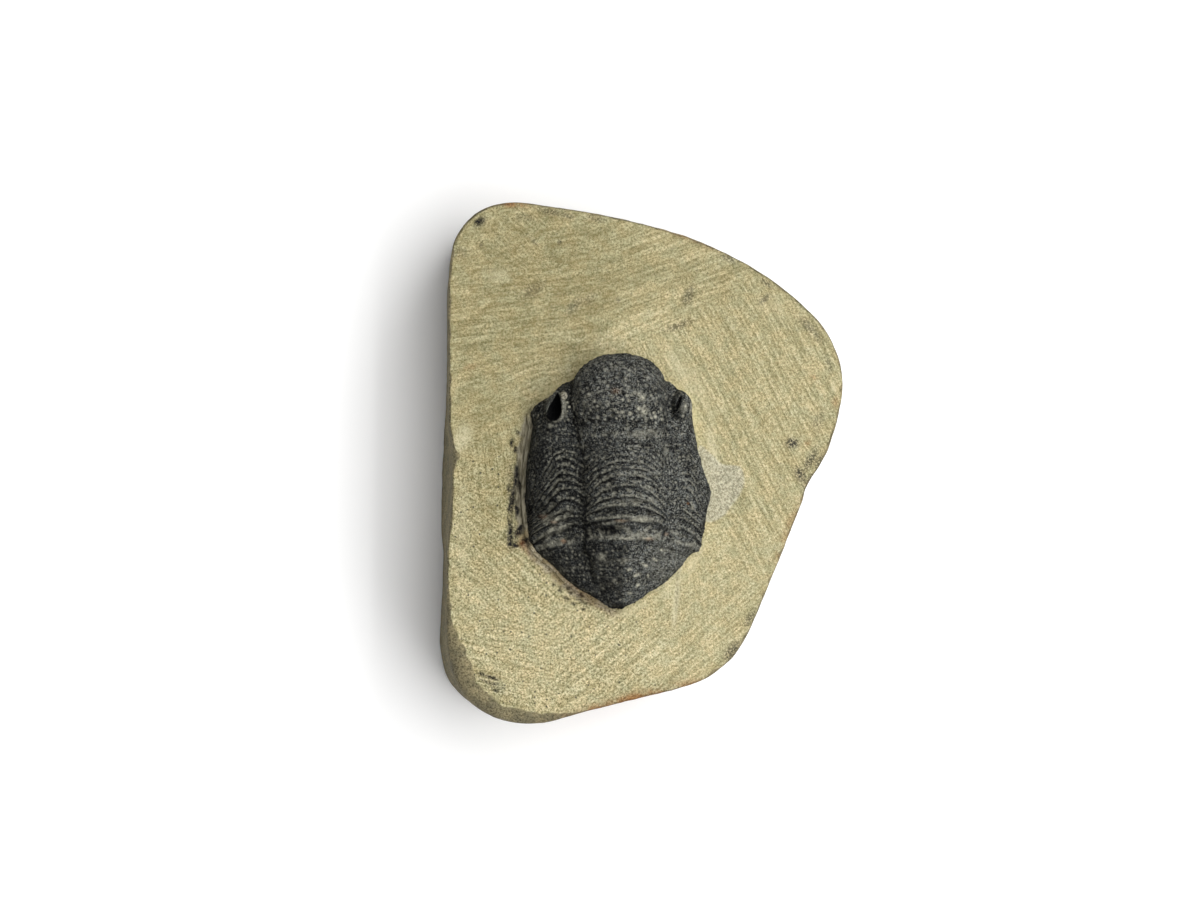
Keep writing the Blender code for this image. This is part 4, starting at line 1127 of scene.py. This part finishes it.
def fossil_material():
    """Dark grey fossil shell: grainy, paler on its granules and ring edges, black in its furrows and darker
    on its left side from painted shade, with painted highlights on its peaks and occipital ring.
    """
    nodes = Nodes("dark_fossil_shell")
    nodes.shader.inputs["Specular IOR Level"].default_value = FOSSIL_SHINE
    pale, dark, warm, shade = (nodes.paint(name) for name in ("pale", "dark", "warm", "shade"))
    cloud = nodes.noise(0.5, 3.0, 0.6)
    mottle = nodes.noise(1.5, 2.0, 0.6, shift=8.0)
    grain = nodes.noise(3.0, 3.0, 0.75)
    dust = nodes.noise(7.0, 2.0, 0.7, shift=4.0)
    uneven = nodes.sway(nodes.sway(grain, mottle, 0.35), cloud, 0.2)
    colour = nodes.mix(nodes.ramp(cloud, 0.38, 0.62), srgb(20, 23, 27), srgb(43, 45, 47))
    layers = (
        (mottle, 0.5, 0.66, 0.7, (72, 74, 71)), (mottle, 0.47, 0.34, 0.8, (10, 12, 16)),
        (uneven, 0.52, 0.66, 1.0, (105, 108, 105)), (uneven, 0.48, 0.37, 0.95, (5, 6, 8)),
        (dust, 0.54, 0.65, 0.75, (166, 166, 156)), (dust, 0.48, 0.37, 0.7, (5, 6, 8)),
    )
    for pattern, low, high, strength, tint in layers:
        colour = nodes.mix(nodes.ramp(pattern, low, high, 0.0, strength), colour, srgb(*tint))
    # Painted shade on the left side and, a little, on the glabella.
    colour = nodes.mix(nodes.times(shade, 0.56), colour, srgb(4, 5, 7))
    # Painted shade in the ring gaps, furrows, fine hollows and the eye's hollow and groove, with the dark
    # spots and pits.
    colour = nodes.mix(nodes.times(dark, 0.95), colour, srgb(3, 3, 4))
    # Pale granules, worn ring edges and pale spots, with painted highlights on fine peaks and on the
    # occipital ring.
    broken = nodes.times(pale, nodes.ramp(grain, 0.34, 0.54, 0.2, 0.95))
    broken = nodes.times(broken, nodes.math("MULTIPLY_ADD", dark, -0.6, 1.0))
    colour = nodes.mix(broken, colour, srgb(190, 187, 168))
    rusty = nodes.times(warm, nodes.ramp(dust, 0.35, 0.6, 0.2, 0.9))
    colour = nodes.mix(rusty, colour, srgb(164, 124, 92))
    roughness = nodes.math("MAXIMUM", nodes.ramp(grain, 0.38, 0.6, 0.85, 0.5), dark)
    return nodes.finish(colour, roughness, nodes.math("MULTIPLY_ADD", dust, 0.5, grain), FOSSIL_GRAIN)


def scraping_streaks(nodes):
    """Brightness of the stone along the scraping marks, each direction where it has its share."""
    shares = (*nodes.paint_parts("sweep_a"), *nodes.paint_parts("sweep_b"), nodes.paint("sweep_c"))
    streaks = 0.0
    for number, (heading, share) in enumerate(zip(SWEEP_HEADINGS, shares)):
        streak = nodes.noise(2.4, 3.0, 0.7, heading, (0.07, 1.0, 0.4), shift=3.0 * number)
        streaks = nodes.math("MULTIPLY_ADD", streak, share, streaks)
    return streaks


def scraped_stone(nodes, streaks, grain, fine, tint):
    """Colour of the scraped face: khaki, streaked and grainy, olive where its tone is low, and speckled."""
    cloud = nodes.noise(0.16, 4.0, 0.6, shift=2.0)
    olive = nodes.noise(1.1, 4.0, 0.75, 10, (0.45, 1.0, 1.0), shift=11.0)
    tone, speckled = nodes.paint("tone"), nodes.paint("speckled")
    colour = nodes.mix(nodes.ramp(tint, 0.3, 0.7), srgb(176, 170, 132), srgb(187, 174, 132))
    light = nodes.math("MULTIPLY_ADD", cloud, 0.18, 0.92)
    light = nodes.math("MULTIPLY_ADD", tone, 0.4, light)
    light = nodes.times(light, nodes.ramp(streaks, 0.36, 0.64, 0.77, 1.18))
    contrast = nodes.math("MULTIPLY_ADD", speckled, 0.45, 0.7)
    grainy = nodes.times(nodes.ramp(grain, 0.35, 0.65, -0.44, 0.36), contrast)
    grainy = nodes.math("MULTIPLY_ADD", nodes.ramp(fine, 0.32, 0.68, -0.26, 0.22), contrast, grainy)
    light = nodes.math("MULTIPLY_ADD", grainy, light, light)
    colour = nodes.mix(1.0, colour, nodes.lightness(light), "MULTIPLY")
    stained = nodes.math("MULTIPLY", tone, -2.2, clamp=True)
    stained = nodes.times(nodes.times(stained, nodes.ramp(olive, 0.42, 0.7)), 0.7)
    colour = nodes.mix(stained, colour, srgb(122, 110, 64))
    bright = nodes.times(nodes.paint("bright"), nodes.ramp(grain, 0.3, 0.6, 0.25, 0.8))
    colour = nodes.mix(bright, colour, srgb(214, 206, 170))
    specks = nodes.times(nodes.times(nodes.dots(1.25, 0.2, 0.3), speckled), 0.8)
    return nodes.mix(specks, colour, srgb(62, 61, 54))


def stone_beside_fossil(nodes, colour, grain, tint):
    """Lay the pale rim at the head, the scored and browner stone and the smear over the face's colour."""
    scored, brownish, head_rim = nodes.paint_parts("margin")
    lines = nodes.noise(3.0, 3.0, 0.6, 86, (0.16, 1.0, 1.0), shift=9.0)
    head_rim = nodes.times(head_rim, nodes.ramp(grain, 0.3, 0.6, 0.35, 0.85))
    colour = nodes.mix(head_rim, colour, srgb(214, 204, 158))
    chalky = nodes.mix(nodes.ramp(lines, 0.4, 0.6), srgb(108, 102, 84), srgb(172, 165, 143))
    colour = nodes.mix(nodes.times(scored, 0.9), colour, chalky)
    brownish_stone = nodes.mix(nodes.ramp(tint, 0.4, 0.6), srgb(160, 144, 108), srgb(186, 176, 150))
    brownish_stone = nodes.mix(nodes.ramp(grain, 0.5, 0.38), brownish_stone, srgb(92, 78, 58))
    colour = nodes.mix(nodes.times(brownish, 0.9), colour, brownish_stone)
    smeared = nodes.mix(nodes.ramp(grain, 0.36, 0.64), srgb(140, 136, 116), srgb(212, 207, 182))
    return nodes.mix(nodes.times(nodes.paint("smear"), 0.8), colour, smeared)


def worn_stone(nodes, colour, grain, fine, tint):
    """Lay the smudges, cracks, weathered rind and rusty stains over the stone's colour."""
    blotch = nodes.times(nodes.paint("smudge"), nodes.ramp(grain, 0.62, 0.46, 0.2, 1.0))
    colour = nodes.mix(blotch, colour, srgb(64, 62, 53))
    crack = nodes.times(nodes.paint("crack"), nodes.ramp(grain, 0.66, 0.5, 0.5, 1.0))
    colour = nodes.mix(crack, colour, srgb(26, 25, 24))
    weathered = nodes.mix(nodes.ramp(tint, 0.35, 0.65), srgb(110, 103, 80), srgb(146, 135, 102))
    weathered = nodes.mix(nodes.ramp(grain, 0.56, 0.38, 0.0, 0.75), weathered, srgb(50, 47, 38))
    weathered = nodes.mix(nodes.ramp(fine, 0.52, 0.66, 0.0, 0.5), weathered, srgb(166, 155, 120))
    patchy = nodes.sway(nodes.sway(nodes.paint("rind"), tint, 1.1), grain, 0.8)
    colour = nodes.mix(nodes.ramp(patchy, 0.4, 0.75, 0.0, 0.9), colour, weathered)
    rusty = nodes.mix(nodes.ramp(grain, 0.35, 0.65), srgb(112, 68, 38), srgb(172, 120, 68))
    stain = nodes.times(nodes.paint("stain"), nodes.ramp(tint, 0.35, 0.6, 0.2, 0.85))
    return nodes.mix(stain, colour, rusty)


def matrix_material():
    """Scraped khaki limestone, its weathered edge and wall, and the marks of the fossil's preparation."""
    nodes = Nodes("scraped_matrix")
    nodes.shader.inputs["Specular IOR Level"].default_value = STONE_SHINE
    streaks = scraping_streaks(nodes)
    grain = nodes.noise(3.6, 3.0, 0.75)
    fine = nodes.noise(8.0, 2.0, 0.7, shift=7.0)
    tint = nodes.noise(0.5, 3.0, 0.6, shift=5.0)
    colour = scraped_stone(nodes, streaks, grain, fine, tint)
    colour = stone_beside_fossil(nodes, colour, grain, tint)
    colour = worn_stone(nodes, colour, grain, fine, tint)
    height = nodes.math("MULTIPLY_ADD", streaks, 0.9, grain)
    height = nodes.math("MULTIPLY_ADD", fine, 0.4, height)
    return nodes.finish(colour, nodes.ramp(grain, 0.3, 0.7, 0.82, 0.97), height, STONE_GRAIN)


def floor_material():
    """Plain pale studio floor."""
    nodes = Nodes("pale_floor")
    nodes.shader.inputs["Base Color"].default_value = (0.9, 0.9, 0.9, 1.0)
    nodes.shader.inputs["Roughness"].default_value = 0.9
    nodes.shader.inputs["Emission Color"].default_value = (1.0, 1.0, 1.0, 1.0)
    nodes.shader.inputs["Emission Strength"].default_value = FLOOR_GLOW
    return nodes.material


def make_floor():
    """A plain floor under the block."""
    bm = bmesh.new()
    bmesh.ops.create_grid(bm, x_segments=1, y_segments=1, size=FLOOR_REACH)
    floor = finish_mesh("floor", bm, floor_material())


def aim(thing, place, target):
    """Put a light or camera at a place and point it at a target, in millimetres."""
    away = (Vector(place) - Vector(target)).normalized()
    right = Vector((0.0, 1.0, 0.0)).cross(away).normalized()
    turned = Matrix((right, away.cross(right), away)).transposed()
    thing.location = Vector(place) * MM
    thing.rotation_euler = turned.to_euler()


def make_camera():
    """The camera looks down on the face, leaning a little to the left so that the left wall shows."""
    data = bpy.data.cameras.new("camera")
    data.lens = LENS
    data.sensor_width = SENSOR
    data.clip_start = 0.01
    camera = add_object("camera", data)
    view = Vector((-math.tan(LEAN_LEFT), -math.tan(LEAN_NEAR), 1.0)).normalized()
    aim(camera, Vector(TARGET) + view * CAMERA_DISTANCE, TARGET)
    bpy.context.scene.camera = camera


def make_light(name, heading, elevation, length, power):
    """A softbox aimed at the fossil, its length running the same way as the block."""
    data = bpy.data.lights.new(name, "AREA")
    data.shape = "RECTANGLE"
    data.size = LIGHT_WIDTH * MM
    data.size_y = length * MM
    data.energy = power
    turn, up = math.radians(heading), math.radians(elevation)
    way = Vector((math.cos(up) * math.cos(turn), math.cos(up) * math.sin(turn), math.sin(up)))
    aim(add_object(name, data), way * LIGHT_DISTANCE, (0.0, 0.0, FACE_HEIGHT))


def make_world():
    """Even, weak light from all round."""
    world = bpy.data.worlds.new("studio")
    world.use_nodes = True
    background = world.node_tree.nodes["Background"]
    background.inputs["Color"].default_value = (1.0, 1.0, 1.0, 1.0)
    background.inputs["Strength"].default_value = WORLD_LIGHT
    bpy.context.scene.world = world


def main():
    make_camera()
    make_floor()
    for light in LIGHTS:
        make_light(*light)
    make_world()
    bpy.context.scene.view_settings.view_transform = "Standard"

    matrix = make_matrix()
    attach(matrix, "root")
    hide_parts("matrix")
    trilobite = make_trilobite()
    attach(trilobite, "root")
    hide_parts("trilobite")


main()
